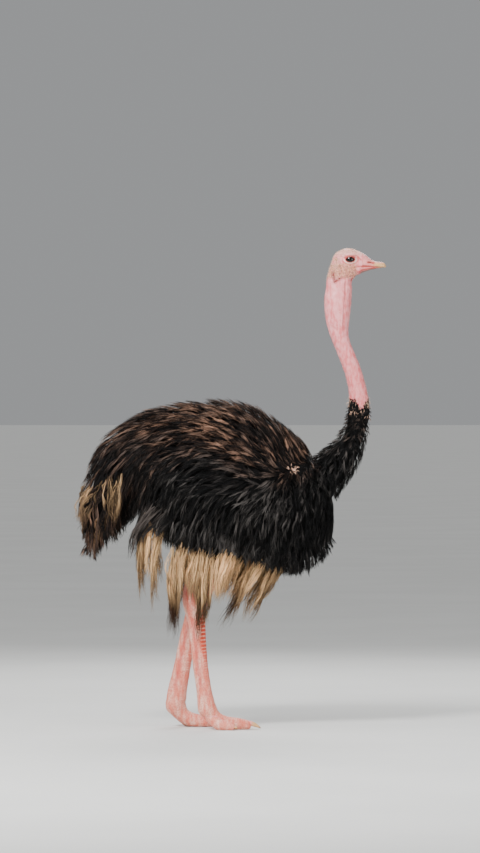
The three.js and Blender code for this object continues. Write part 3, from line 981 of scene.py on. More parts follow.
THIRD_NAIL = [
    [160, 0, 27, 14, 15], [188, 0, 26, 13, 14], [212, 0, 18, 9, 10], [234, 0, 6, 2.5, 4],
]
FOURTH_NAIL = [
    [116, 0, 16, 7, 6.5], [134, 0, 14, 6, 5.5], [147, 0, 8, 2, 2],
]
FOURTH_TURN = math.radians(26)  # outwards


def mouth_at(x: Array) -> Array:
    """Height of the mouth line: it rises from the gape, then falls softly to the tip."""
    return MOUTH_Z - MOUTH_FALL * (x - MOUTH_START) - 5.0 * smooth(572, 540, x)


def bill_section(x: Array, y: Array, z: Array) -> tuple[Array, Array]:
    """Where the bill's section lies, as seen from the mouth line.

    Args:
        x: where the section is.
        y: a place across it.
        z: a height on it.

    Returns:
        The y and z of the section's point that lies the same way from the mouth line as (y, z).
    """
    mouth = mouth_at(x)
    halves = ([np.interp(x, rows[:, 0], rows[:, k]) for rows in (BILL_TOP, BILL_KEEL)] for k in (1, 2))
    ridge, wide = (np.where(z >= mouth, top, keel) for top, keel in halves)
    height = np.abs(ridge - mouth)
    slope = np.abs(z - mouth) * wide / np.maximum(np.abs(y) * height, 1e-6)
    a = np.arctan(slope ** (1 / BILL_MIDDLE))
    lift = np.sign(z - mouth) * height * np.sin(a) ** BILL_ARCH
    return np.sign(y) * wide * np.cos(a) ** BILL_FLANK, mouth + lift


def on_foot(lines: Rows, side: Side, turn: float = 0.0) -> list[list[float]]:
    """Toe stations moved to the end of a leg and turned outwards about it.

    Args:
        lines: line stations [x, y, z, depth, width] from the leg's end.
        side: the side of the leg.
        turn: the angle outwards.

    Returns:
        The stations in the drawing.
    """
    root_x, root_y = LEG_LINES[side][-1][:2]
    cos, sin = math.cos(turn), math.sin(turn)
    return [[root_x + x * cos - y * sin, side.value * (root_y + x * sin + y * cos), z, depth, width]
            for x, y, z, depth, width in lines]


# ---- Skin ----


@dataclass
class EyeShape:
    """Where the eyes lie and how their lids open."""

    x: float = DRAWN_EYE_X
    y: float = 23.0
    z: float = DRAWN_EYE_Z
    radius: float = 25.0
    lid: float = 1.8
    half_length: float = 21.0
    upper: float = 12.5
    lower: float = 13.0

    def opening(self, dx: Array) -> tuple[Array, Array]:
        """Heights of the upper and lower lid edges above the eye's middle, at dx along the eye."""
        share = np.clip(1 - (dx / self.half_length) ** 2, 0.0, 1.0)
        return self.upper * share**0.75, -self.lower * share**0.6

    def ball(self, dx: Array, dz: Array, radius: float) -> Array:
        """Distance of a sphere's outer face from the mid plane."""
        return self.y + np.sqrt(np.maximum(radius**2 - dx**2 - dz**2, 0.0))


HEAD_HILLS = [  # brow, crown, cheek and the hollow before the eye: [height, x, z, half length, half height]
    [3.2, 516, 2083, 26, 6.5], [-1.6, 500, 2097, 24, 8], [3.0, 494, 2008, 24, 17], [-2.2, 548, 2046, 14, 10],
]
HEAD_CREASES = [  # round the eye, at the gape, under the jaw and by the ear: [height, x1, z1, x2, z2, width]
    [-1.5, 530, 2078, 548, 2077, 2.0], [-1.9, 548, 2077, 565, 2060, 2.2], [-0.9, 498, 2043, 528, 2040, 2.0],
    [-0.8, 490, 2050, 500, 2042, 1.8], [-2.6, 530, 2022, 552, 2029, 1.7], [-2.2, 552, 2029, 576, 2031, 1.6],
    [1.3, 536, 2033, 576, 2038, 2.6], [1.5, 534, 2014, 576, 2023, 3.4], [-1.6, 444, 1998, 450, 1962, 3.0],
    [-2.2, 450, 1961, 476, 1977, 3.0], [-1.6, 476, 1977, 534, 1981, 3.2], [1.6, 476, 1986, 530, 1990, 5.0],
    [-1.0, 466, 2003, 476, 1996, 2.2], [-0.8, 502, 2010, 530, 1998, 2.4],
]
EAR = (474, 2028)
# Marks on the sides of the head and the upper neck: [strength, x1, z1, x2, z2, width] of each stroke.
MARKS = {
    "crease": [[1, 505, 2078, 548, 2078, 2.6], [1, 548, 2078, 566, 2059, 3.2],
               [0.8, 490, 2072, 505, 2078, 2.4]],
    "gape": [[1, 530, 2021, 552, 2029, 3.0], [1, 552, 2029, 592, 2031, 3.0]],
    "jaw": [[1, 548, 2004, 580, 2013, 3.2]],
    "folds": [[1, 496, 1962, 497, 1840, 3.0], [0.7, 497, 1840, 492, 1752, 3.0],
              [0.7, 440, 1768, 462, 1752, 5.0]],
    "ear": [[1, 444, 1998, 451, 1961, 8.0], [1, 451, 1962, 476, 1978, 7.5], [0.7, 470, 1999, 473, 1997, 4.0]],
    "nape": [[1, 457, 2062, 458, 2058, 9.0], [0.7, 459, 2050, 460, 2005, 5.0]],
}


@dataclass
class BirdSkin:
    """The one skin of the bird: body, neck and head, legs and toes, joined with no seam."""

    eye: EyeShape = field(default_factory=EyeShape)
    body_size: tuple[int, int] = (150, 88)
    neck_size: tuple[int, int] = (150, 144)
    head_rings: int = 118
    leg_rings: tuple[int, int, int] = (30, 190, 90)  # thigh, shank and third toe
    leg_columns: int = 56
    toe_size: tuple[int, int] = (70, 40)
    lid_size: tuple[int, int] = (97, 12)
    lid_thickness: float = 1.15
    flesh: tuple[str, ...] = ("trunk", "neck_base", "neck_middle", "neck_upper", "head")
    limbs: tuple[str, ...] = ("thigh", "shank", "third_toe", "fourth_toe")
    leg_marks: tuple[str, ...] = ("leg", "scute", "hollow")

    def body(self) -> tuple[Array, Numbers]:
        """Rings of the flesh under the coat: the body form, drawn in by the depth of the coat."""
        s, a = grid(np.linspace(0.8, BODY.last - 0.35, self.body_size[0]), self.body_size[1])
        return BODY.point(s, a, BODY_DEPTH), {}

    def neck_and_head(self) -> Array:
        """Rings of the neck and head, closest together at the head and round the eyes.

        Returns:
            The neck form, drawn in by the depth of its feathers, with its folds.
        """
        rings, columns = self.neck_size
        fine = np.linspace(-math.pi, math.pi, 2001)
        weight = 1 + 1.9 * bell(np.abs(fine) - 1.25, 0.42)
        total = np.concatenate([[0], np.cumsum((weight[1:] + weight[:-1]) / 2)])
        a = np.interp(np.linspace(0, total[-1], columns, endpoint=False), total, fine)
        neck = np.linspace(0.8, NECK_STATIONS - 1.2, rings)
        head = np.linspace(NECK_STATIONS - 1.15, NECK.last, self.head_rings)
        s, a = np.broadcast_arrays(np.concatenate([neck, head])[:, None], a[None])
        depth = 22 * smooth(FEATHER_END - 0.2, FEATHER_END - 2.2, s)
        return self.neck_folds(NECK.point(s, a, depth + 1.2), s, a)

    def neck_folds(self, p: Array, s: Array, a: Array) -> Array:
        """Long soft folds down the throat and fine creases across the neck, as moves along the normal.

        Args:
            p: places on the neck form.
            s: their stations.
            a: their angles.

        Returns:
            The places with the folds.
        """
        _, _, normal = NECK.tangents(s, a)
        x, _, z = np.moveaxis(p, -1, 0)
        bare = smooth(FEATHER_END - 0.5, FEATHER_END + 0.5, s) * smooth(NECK.last - 6, NECK.last - 8, s)
        throat = smooth(1700, 1760, z) * smooth(1985, 1940, z)
        vein = bell(np.abs(a) - 2.1, 0.06) - 0.6 * bell(np.abs(a) - 1.93, 0.08)
        pipe = bell(math.pi - np.abs(a), 0.45)
        creases = np.sin(z / 5.1 + 1.4 * ripple(p, 90.0)) * 0.35
        fold = stroke(x, z, 440, 1768, 462, 1750, 5)
        move = bare * (creases + 0.8 * ripple(p, 60.0)) - 2.4 * throat * vein
        return p + normal * (move + 1.2 * throat * pipe - 2.2 * fold)[..., None]

    def shape_head(self, p: Array) -> Array:
        """Brow, cheek, creases, ear, the lids' bulge over the eye, the eye hollow and the bill's root.

        Each hill and crease moves the side of the head along Y. The lids are a sphere that joins the head by
        soft * log(exp(head / soft) + exp(sphere / soft)), and the head runs into the bill's own section.

        Args:
            p: places on the head form.

        Returns:
            The places with these shapes.
        """
        x, y, z = np.moveaxis(p, -1, 0)
        out = np.abs(y)
        move = sum(height * hill(x, z, *rest) for height, *rest in HEAD_HILLS)
        move = move + sum(height * stroke(x, z, *rest) for height, *rest in HEAD_CREASES)
        rim = np.hypot((x - EAR[0]) / 6.5, (z - EAR[1]) / 8.5)
        move = move + 1.6 * bell(rim - 1.15, 0.25) - 6.0 * smooth(1.0, 0.55, rim)
        move = move + 0.35 * np.sin(x / 2.3 + 3 * ripple(p, 40.0)) * smooth(2075, 2050, z)
        out = out + smooth(8, 24, out) * move

        eye = self.eye
        dx, dz = x - eye.x, z - eye.z
        near = (dx**2 + dz**2 < (eye.radius + eye.lid) ** 2) & (out > 12)
        lid = np.where(out > 12, eye.ball(dx, dz, eye.radius + eye.lid), 0.0)
        soft = 3.0
        blended = soft * np.logaddexp(out / soft, lid / soft)
        blended = blended - soft * np.exp(-np.abs(out - lid) / soft) * 0.69
        out = np.where(near, np.maximum(out, blended), out)
        top, bottom = eye.opening(dx)
        height = np.where(dz > 0, dz / np.maximum(top, 0.3), dz / np.minimum(bottom, -0.3))
        out = out - 17.0 * smooth(1.02, 0.86, height) * (np.abs(dx) < eye.half_length) * (out > 12)

        out = np.where(np.abs(y) > 1e-6, np.sign(y), 0) * out
        on_bill = smooth(540, 559, x)
        ahead = x + 10.0 * smooth(552, 572, x) * np.clip((z - 2036) / 50, -0.6, 1.0)
        bill_y, bill_z = bill_section(ahead, out, z)
        lip = 0.5 - 2.6 * smooth(570.5, 574.0, x)
        away = unit(np.stack([bill_y, bill_z - mouth_at(ahead)], -1)) * lip[..., None]
        return np.stack([ahead, out + on_bill * (bill_y + away[..., 0] - out),
                         z + on_bill * (bill_z + away[..., 1] - z)], -1)

    def lid_rim(self, side: Side) -> Array:
        """Rings of the lids' thick edge: a thin round tube that follows the opening over the eyeball.

        Args:
            side: the side of the eye.

        Returns:
            The rings, of which the last meets the first.
        """
        eye = self.eye
        t = np.linspace(0, TURN, self.lid_size[0])
        dx = eye.half_length * np.cos(t)
        dz = np.where(np.sin(t) > 0, *eye.opening(dx))
        centre = np.stack([dx, eye.ball(dx, dz, eye.radius + 0.9), dz], -1)
        out = unit(centre - np.array([0, eye.y, 0]))
        across = np.cross(unit(np.gradient(centre, axis=0)), out)
        b = np.linspace(0, TURN, self.lid_size[1], endpoint=False)[None, :, None]
        ring = np.cos(b) * across[:, None] + np.sin(b) * out[:, None]
        points = centre[:, None] + self.lid_thickness * ring + np.array([eye.x, 0, eye.z])
        return (points * np.array([1, side.value, 1]))[:-1]

    def leg(self, side: Side) -> tuple[Array, Numbers]:
        """A leg from the thigh to the tip of the third toe, with knobs, tendon hollows and scutes.

        A scute is a step of a sawtooth wave of the length run along the leg, on its front.

        Args:
            side: the side of the leg.

        Returns:
            The rings and the numbers that colour them.
        """
        placed = [[x, side.value * y, z, depth, width] for x, y, z, depth, width in LEG_LINES[side]]
        form = Form(edges_of(placed + on_foot(THIRD_TOE, side)))
        shank = len(LEG_LINES[side]) - 1
        spans = zip((0.6, 4.02, shank + 0.04), (4, shank, form.last), self.leg_rings)
        s, a = grid(np.concatenate([np.linspace(*span) for span in spans]), self.leg_columns)
        p = form.point(s, a, 0.8)
        _, _, normal = form.tangents(s, a)
        middle = form.point(s[:, :1], np.zeros_like(s[:, :1]))
        run = np.cumsum(np.concatenate([[0], np.linalg.norm(np.diff(middle[:, 0], axis=0), axis=1)]))[:, None]
        z, flank = p[..., 2], np.abs(a)
        on_shank = smooth(4.4, 5.0, s)
        saw = (run / (17.0 - 6.5 * smooth(shank - 4, shank + 1, s))) % 1.0
        plate = on_shank * smooth(1.28, 1.06, flank + 0.1 * np.sin(run / 23))
        step = (0.25 + 0.75 * saw**1.2) * smooth(1.0, 0.93, saw)
        side_groove = bell(flank - 1.3, 0.07) * on_shank
        knob = bell(z - 572, 26) * bell(flank - 1.65, 0.6)
        hollow = bell(flank - 1.95, 0.33) * smooth(150, 215, z) * smooth(520, 470, z)
        wrinkle = np.sin(z / 3.4 + 2.5 * ripple(p, 50.0)) * bell(z - 575, 40)
        move = 1.9 * plate * step - 0.8 * side_groove + 5.5 * knob - 4.0 * hollow + 0.7 * wrinkle
        p = self.flat_sole(p + normal * (move + 0.6 * ripple(p, 45.0))[..., None])
        upper = smooth(200, 380, z) * (1.0 if side is Side.RIGHT else 0.55)
        seams = plate * smooth(0.86, 0.97, saw) + 0.8 * side_groove * smooth(430, 300, z)
        blotch = smooth(0.1, 0.7, ripple(p, 26.0)) * smooth(90, 160, z) * smooth(420, 300, z) * (1 - plate)
        # knee: painted shade on the leg just below the thigh plumes
        knee = smooth(5.3, 4.2, s) * smooth(2.4, 3.2, s)
        return p, {
            "leg": smooth(2.9, 4.0, s),
            "scute": plate * (0.3 + 0.7 * upper) * smooth(0.1, 0.35, saw) * smooth(1.0, 0.82, saw),
            # painted shade in the tendon hollows and below the plumes, with the dark seams between scutes and
            # blotches of the skin
            "hollow": np.clip(0.7 * hollow + 0.5 * knee + 0.4 * seams + 0.3 * blotch, 0, 1),
        }

    def fourth_toe(self, side: Side) -> tuple[Array, Numbers]:
        """The small outer toe.

        Args:
            side: the side of the foot.

        Returns:
            The rings and the numbers that colour them.
        """
        form = Form(edges_of(on_foot(FOURTH_TOE, side, FOURTH_TURN)))
        s, a = grid(np.linspace(0.1, form.last, self.toe_size[0]), self.toe_size[1])
        _, _, normal = form.tangents(s, a)
        saw = (s * 3.1) % 1.0
        plate = smooth(0.95, 0.7, np.abs(a)) * smooth(1.0, 1.5, s)
        move = 1.3 * plate * (0.25 + 0.75 * saw) * smooth(1.0, 0.9, saw)
        p = form.point(s, a, 0.8) + normal * move[..., None]
        return self.flat_sole(p), {"leg": np.ones_like(s), "scute": 0.2 * plate * smooth(0.05, 0.4, saw)}

    @staticmethod
    def flat_sole(p: Array) -> Array:
        """Rings whose underside is pressed flat at the floor: z becomes (z + sqrt(z^2 + r^2)) / 2 near it.

        Args:
            p: places on a foot.

        Returns:
            The places, none of them below the floor.
        """
        z = p[..., 2]
        pressed = np.where(z < 6, (z + np.sqrt(z**2 + 1.6**2)) / 2 - 0.4 * smooth(6, 0, z), z)
        return np.stack([p[..., 0], p[..., 1], np.maximum(pressed, 0.0)], -1)

    def build(self, drawing: Drawing) -> Piece:
        """All the skin's shells as meshes, joined into one by unions and softened where toes join.

        Args:
            drawing: makes the meshes.

        Returns:
            The skin, with its marks but without a finish.
        """
        head = self.neck_and_head()
        blend = smooth(1935, 1965, head[..., 2:]) * (np.arange(len(head))[:, None, None] > 120)
        head = head + (self.shape_head(head) - head) * blend
        shells = [("skin", *self.body()), ("neck_and_head", head, {})]
        for side in Side:
            shells.append((f"leg_{side.label}", *self.leg(side)))
            shells.append((f"outer_toe_{side.label}", *self.fourth_toe(side)))
        made = []
        for name, rings, values in shells:
            none = dict.fromkeys(self.leg_marks, np.zeros(rings.shape[:2]))
            made.append(drawing.tube(name, rings, none | values))
        for side in Side:
            obj = drawing.mesh(f"lid_rim_{side.label}", *ring_of_rings(self.lid_rim(side)))
            set_values(obj, **dict.fromkeys(self.leg_marks, np.zeros(len(obj.data.vertices))))
            made.append(obj)
        skin = unite(made)
        for side in Side:
            x, y = LEG_LINES[side][-1][:2]
            soften(skin, drawing.metres(np.array([x + 38, side.value * (y + 14), 46.0])), 0.042, 14)
        self.mark(skin, drawing)
        return skin

    def mark(self, skin: Piece, drawing: Drawing) -> None:
        """Writes the numbers that colour the skin: feathered cover, the coat's tone, flush, down, lids and
        painted shade along the jaw, under the chin and between the feathers.

        Args:
            skin: the skin.
            drawing: tells where the drawing lies in the frame.
        """
        p = (places_of(skin.data) - np.array([drawing.shift, 0, 0])) / MM
        x, y, z = p.T
        collar = smooth(8, -8, z - collar_at(p) + 9 * ripple(p, 13.0))
        body = (z < 1480) & ((x > 330) | (z > 600))
        cover = np.where(z > 1340, collar, smooth(660, 715, z)) * body
        eye = self.eye
        dx, dz = x - eye.x, z - eye.z
        rim = np.hypot(dx / (eye.half_length + 3), dz / (eye.lower + 2.5))
        lid = smooth(1.22, 1.08, rim) * smooth(0.93, 1.02, rim) * (np.abs(y) > 30) * (z > 2000)
        lid = lid * smooth(5, -2, dz - 0.25 * dx.clip(0))
        side = (np.abs(y) > 18) & (z > 1740)
        marks = {name: np.max([k * stroke(x, z, *line) for k, *line in rows], 0) * side
                 for name, rows in MARKS.items()}
        outline = bell(rim - 1.45, 0.13) * side * smooth(2075, 2062, z)
        low_neck = smooth(1800, 1500, z) * (z > 1300)
        speckle = smooth(0.15, 0.8, ripple(p, 35.0))
        upper_lid = smooth(1.32, 1.12, rim) * side * smooth(0, 6, dz)
        flush = 0.95 * marks["crease"] + marks["gape"] + 0.8 * marks["jaw"] + 0.85 * outline
        flush = flush + 0.28 * low_neck + 0.16 * speckle + upper_lid + 0.65 * marks["folds"]
        flush = flush + 0.8 * side * smooth(1.02, 0.94, rim)
        deep = marks["ear"] * smooth(-1.2, -0.1, ripple(p, 9.0))
        # painted shade along the underside of the jaw and under the chin by the bill
        deep = np.maximum(deep, 0.55 * stroke(x, z, 522, 1970, 576, 2002, 7.0) * (z > 1940))
        deep = np.maximum(deep, 0.85 * smooth(2012, 1996, z) * smooth(548, 566, x) * (z > 1960))
        face = smooth(1972, 1990, z + 5 * ripple(p, 12.0)) * smooth(2058, 2030, z + 9 * ripple(p, 30.0))
        face = face * smooth(560, 535, x) * (0.75 - 0.4 * ripple(p, 14.0))
        face = np.maximum(face, np.maximum(marks["nape"], 0.35 * smooth(2070, 2095, z)))
        tone, pale = coat_tone(p)
        none = np.zeros(len(p))
        # shade 0.08 paints shade into the coat's colour where the skin shows between the feathers
        set_values(skin, cover=cover, tone=tone, pale=pale * (z < 720), shade=none + 0.08, along=none,
                   ends=none, flush=np.clip(flush, 0, 1), lid=np.maximum(lid, 0.45 * smooth(2066, 2098, z)),
                   deep=deep, face=np.clip(face, 0, 1))


# ---- Bill, eyes and nails ----


@dataclass
class Bill:
    """The two halves of the bill, each a row of half rings on its own side of the mouth line."""

    size: tuple[int, int] = (130, 96)
    start: float = 560.0
    blunt: float = 9.0  # over this length the tip rounds off

    def half(self, upper: bool) -> tuple[Array, Numbers]:
        """Rings of one half: an arch sin(a)^0.82 high over the mouth line, closed by a shallow palate.

        Args:
            upper: the half above the mouth line.

        Returns:
            The rings and the numbers that colour them.
        """
        rows, sign, hook = (BILL_TOP, 1, 1.0) if upper else (BILL_KEEL, -1, 0.6)
        tip = rows[-1, 0] + 1.5
        share = np.sin(np.linspace(0, 1, self.size[0]) * math.pi / 2)[:, None] ** 0.9
        x = self.start + (tip - self.start) * share
        outer, width = (np.interp(x, rows[:, 0], rows[:, k]) for k in (1, 2))
        end = np.sqrt(np.clip(1 - ((x - tip + self.blunt) / self.blunt).clip(0, 1) ** 2, 0.0006, 1))
        end = end - 0.06 * smooth(568, 560, x)
        mouth = mouth_at(x) + sign * 0.45 - 2.2 * smooth(650, 676, x) * hook
        height = np.maximum(sign * (outer - mouth), 1.0) * (0.35 + 0.65 * end)
        a = np.linspace(0, TURN, self.size[1], endpoint=False)[None]
        arch = np.sin(a)
        palate = np.abs(arch) * np.minimum(2.0, height * 0.4)
        lift = np.where(arch >= 0, np.abs(arch) ** BILL_ARCH * height, palate)
        y = signed_power(np.cos(a), BILL_FLANK) * (width * end) * np.where(arch >= 0, 1.0, 0.94)
        p = np.stack(np.broadcast_arrays(x, y, mouth + sign * lift), -1)
        return self.detail(p, upper, arch >= 0)

    def detail(self, p: Array, upper: bool, outside: Array) -> tuple[Array, Numbers]:
        """Nostril slit and its rim, the nail's step and the long grooves, as moves across the bill.

        Args:
            p: the rings.
            upper: the half above the mouth line.
            outside: where a ring isn't the palate.

        Returns:
            The rings with their detail, and the numbers that colour them.
        """
        x, y, z = np.moveaxis(p, -1, 0)
        mouth = mouth_at(x)
        side = smooth(6, 14, np.abs(y)) * outside
        uneven = x + 4 * ripple(p, 25.0)
        if upper:
            slit = near_line(x, z, 599, 2048.4, 611, 2047.2)
            move = -5.0 * bell(slit, 2.3) + 1.1 * bell(slit - 4.8, 1.8)
            move = move - 0.8 * stroke(x, z, 614, 2045, 668, 2041, 1.1)
            # painted shade in the nostril slit
            dark = bell(slit, 2.4) * side
            flush = 0.95 * stroke(x, z, 596, 2048.4, 622, 2045, 4.6) * side
            edge = bell(z - mouth, 4.6) * smooth(655, 600, x)
            horn = smooth(606, 636, uneven) * (0.35 + 0.65 * smooth(2047, 2042, z))
            cap, rise = smooth(650, 653, x) * outside, 0.6
        else:
            under = (mouth - z) / np.interp(x, BILL_KEEL[:, 0], mouth_at(BILL_KEEL[:, 0]) - BILL_KEEL[:, 1])
            move = -0.7 * stroke(x, z, 590, 2020, 655, 2026.5, 1.2)
            # painted shade on the underside of the lower bill
            dark = smooth(0.66, 0.84, under) * 0.9 * outside
            flush = bell(under - 0.58, 0.13) * smooth(650, 610, x)
            edge = np.maximum(bell(under, 0.24), smooth(596, 620, x) * 0.8) * smooth(672, 630, x)
            horn = smooth(622, 650, uneven)
            cap, rise = smooth(646, 649, x) * outside, -0.5
        out = np.abs(y) + side * move + 0.5 * cap
        rings = np.stack([x, np.sign(y) * np.maximum(out, 0), z + rise * cap * smooth(8, 2, np.abs(y))], -1)
        edge = np.clip(np.maximum(edge, flush), 0, 1)
        return rings, {"horn": horn, "edge": edge, "dark": np.clip(dark, 0, 1)}

    def build(self, drawing: Drawing, material: Material) -> None:
        """Makes and dresses both halves.

        Args:
            drawing: makes the meshes.
            material: the finish.
        """
        for name in ("upper", "lower"):
            obj = drawing.tube(f"bill_{name}", *self.half(name == "upper"))
            finish_piece(obj, material, [f"{name}_bill"])


@dataclass
class Eyeball:
    """A round eye with a slightly raised cornea."""

    shape: EyeShape = field(default_factory=EyeShape)
    size: tuple[int, int] = (44, 56)
    flat: float = 2.0  # the back of each eye is flat, this far from the mid plane

    def build(self, drawing: Drawing, material: Material) -> None:
        """Makes both eyes: rings round the Y axis, radius r with the cornea's dome added near the axis.

        Args:
            drawing: makes the meshes.
            material: the finish.
        """
        b = np.linspace(0.02, math.pi - 0.25, self.size[0])[:, None]
        a = np.linspace(0, TURN, self.size[1], endpoint=False)[None]
        radius = self.shape.radius * (1 + 0.02 * bell(b, 0.5))
        x = self.shape.x + radius * np.sin(b) * np.cos(a)
        y = np.maximum((self.shape.y + radius * np.cos(b)) * np.ones_like(a), self.flat)
        z = self.shape.z + radius * np.sin(b) * np.sin(a)
        for side in Side:
            points, faces = closed_tube(np.stack([x, side.value * y, z], -1))
            obj = drawing.mesh(f"eyeball_{side.label}", points, faces)
            gap = np.hypot(points[:, 0] - self.shape.x, points[:, 2] - self.shape.z) / self.shape.radius
            set_values(obj, axis_gap=gap)
            finish_piece(obj, material, [f"eye_{side.label}"])


@dataclass
class Nails:
    """The claws: broad and blunt on the third toe, small on the fourth."""

    size: tuple[int, int] = (48, 32)
    square: float = 2.3

    def build(self, drawing: Drawing, material: Material) -> None:
        """Makes and dresses the four nails, with growth lines across and a flattened underside.

        Each ring is drawn in towards its middle by its growth line and, at the tip, to a round end.

        Args:
            drawing: makes the meshes.
            material: the finish.
        """
        for side in Side:
            for name, lines, turn in (("third", THIRD_NAIL, 0.0), ("fourth", FOURTH_NAIL, FOURTH_TURN)):
                form = Form(edges_of(on_foot(lines, side, turn)), square=self.square)
                s, a = grid(np.linspace(0, form.last, self.size[0]), self.size[1])
                taper = np.sqrt(np.clip(1 - (s / form.last - 0.94).clip(0) / 0.06, 0.02, 1))
                growth = 1 - 0.012 * (np.sin(s * 22) > 0.2) - 0.14 * smooth(2.2, 2.9, np.abs(a))
                p = form.point(s, a, 0.4)
                middle = p.mean(1, keepdims=True)
                p = middle + (p - middle) * (taper * growth)[..., None]
                p[..., 2] = np.maximum(p[..., 2], 0.6)
                third = s * 3 / form.last
                dark = 0.5 * smooth(2.3, 3.0, third)
                values = {"horn": smooth(0.9, 1.7, third), "edge": 0 * third, "dark": dark}
                obj = drawing.tube(f"nail_{name}_{side.label}", p, values)
                finish_piece(obj, material, [f"{name}_claw_{side.label}"])


# ---- Plumage ----

# The lie of the coat, seen from the side: [x, z, angle], where 180 points back, 270 down and 90 up.
LIE = np.array([
    [132, 1144, 138], [80, 1201, 145], [-30, 1290, 163], [-118, 1302, 180], [-185, 1289, 196],
    [-295, 1267, 207], [-405, 1223, 216], [-490, 1157, 236], [-560, 1047, 255], [-603, 915, 266],
    [-625, 827, 270], [-490, 1003, 262], [-360, 1135, 224], [-273, 1179, 216], [123, 1390, 150],
    [13, 1434, 175], [-141, 1443, 184], [-295, 1412, 196], [-427, 1364, 212], [-537, 1285, 226],
    [-603, 1201, 239], [-647, 1069, 258], [255, 1267, 122], [300, 1223, 108], [430, 1267, 250],
    [497, 1311, 258], [540, 1399, 268], [475, 1179, 258], [312, 1060, 288], [378, 1135, 248],
    [255, 1003, 268], [189, 1003, 250], [132, 1025, 222], [79, 1047, 206], [13, 1135, 180],
    [-53, 1091, 190], [-207, 1091, 217], [-295, 1003, 236], [-360, 871, 250], [-141, 959, 236],
    [-9, 959, 238], [79, 915, 247], [189, 871, 262], [299, 871, 272], [387, 871, 270], [-229, 871, 252],
    [-141, 805, 262], [0, 780, 266], [255, 739, 266], [409, 1003, 266],
], float)
LIE_REACH = 78.0  # how far one direction of the lie holds sway

TONE_LINE = np.array([  # height of the border between brown and black, along x
    [-700, 700], [-520, 860], [-440, 1000], [-378, 1045], [-300, 1150], [-200, 1205], [-60, 1225],
    [60, 1215], [150, 1170], [230, 1130], [300, 1130], [380, 1215], [600, 1300],
], float)
FRINGE = np.array([  # height that the dark coat's tips come down to, along x
    [-430, 765], [-390, 800], [-273, 800], [-190, 775], [-141, 757], [-75, 730], [-44, 772], [35, 738],
    [132, 694], [220, 684], [300, 684], [345, 702], [400, 760], [440, 840],
], float)
TAIL_FRINGE = np.array([  # the same for the tail
    [-690, 905], [-672, 870], [-652, 812], [-612, 778], [-575, 800], [-540, 815], [-510, 838], [-470, 885],
    [-430, 945], [-385, 1000],
], float)
SHOULDER_BAND = (-60, 1300, 110, 1150)  # the ends of the reddish band over the shoulder: x1, z1, x2, z2


def above(line: Array, p: Array) -> Array:
    """Height of drawn points above a line of [x, height]."""
    return p[..., 2] - np.interp(p[..., 0], line[:, 0], line[:, 1])


def collar_at(p: Array) -> Array:
    """Height at which the neck's feathers end: lower in a tongue of skin on each side of the neck."""
    return 1449 - 40 * bell(p[..., 0] - 567, 20) + 6 * ripple(p, 28.0)


def lie_at(p: Array) -> Array:
    """The coat's direction: the mean of the lie's directions, each weighted by exp(-distance^2 / 2r^2).

    Args:
        p: drawn points.

    Returns:
        Unit vectors in the XZ plane.
    """
    angle = np.radians(LIE[:, 2])
    ways = np.stack([np.cos(angle), np.zeros(len(LIE)), np.sin(angle)], -1)
    gap = (p[..., None, 0] - LIE[:, 0]) ** 2 + (p[..., None, 2] - LIE[:, 1]) ** 2
    weight = np.exp(-(gap - gap.min(-1, keepdims=True)) / (2 * LIE_REACH**2))
    return unit(weight @ ways)


def coat_tone(p: Array) -> tuple[Array, Array]:
    """The colours of the coat.

    Brown lies above a border line that wavers, with a reddish band over the shoulder; pale lies low down.

    Args:
        p: drawn points.

    Returns:
        How brown the dark plumage is, and how much of it is pale.
    """
    x, _, z = np.moveaxis(p, -1, 0)
    brown = smooth(-45, 60, above(TONE_LINE, p) - 26 * ripple(p, 160.0, 1.3))
    brown = brown * (0.5 + 0.35 * ripple(p, 75.0, 2.2))
    brown = brown + 0.6 * stroke(x, z, *SHOULDER_BAND, 46) + 0.4 * hill(x, z, 240, 1210, 70, 60)
    brown = brown - 0.1 * smooth(1380, 1440, z) + 0.35 * hill(x, z, -60, 1370, 150, 60)
    brown = brown - 0.35 * hill(x, z, -400, 1180, 90, 80)
    tail = smooth(-540, -640, x) * smooth(1150, 950, z)
    neck = smooth(380, 430, x) * smooth(1150, 1230, z)
    return np.clip(brown * (1 - 0.7 * neck) + 0.5 * tail, 0, 1), smooth(700, 660, z)


@dataclass
class Barbs:
    """How the barbs of one kind of feather are made. Lengths are in millimetres."""

    count: int = 10
    segments: int = 3
    width: float = 2.6
    spread: float = 15.0
    lift: float = 5.0
    curl: float = 0.0
    start: float = 0.55  # the last place along the shaft where a barb leaves it
    reach: tuple[float, float] = (0.4, 0.65)


@dataclass
class Feathers:
    """Centre lines of many feathers, with what their barbs need.

    lines holds each feather's points (feathers, points, 3), normals the outward way at each point.
    """

    lines: Array
    normals: Array
    roots: Array
    tone: Array
    pale: Array
    ends: Array
    shade: Array

    @classmethod
    def joined(cls, sets: Sequence[Feathers]) -> Feathers:
        """Sets of feathers with as many points each, as one set."""
        return cls(*(np.concatenate([getattr(each, k) for each in sets]) for k in cls.__dataclass_fields__))


def place_on(values: Array, t: Array) -> Array:
    """Values along lines, with straight steps between their points.

    Args:
        values: the lines' values (lines, points, 3).
        t: shares of each line's length (lines, ...).

    Returns:
        The values at the shares.
    """
    last = values.shape[1] - 1
    at = np.clip(t, 0, 1) * last
    i = np.minimum(at.astype(int), last - 1)
    f = (at - i)[..., None]
    n = np.arange(len(values)).reshape(-1, *[1] * (t.ndim - 1))
    return values[n, i] * (1 - f) + values[n, i + 1] * f


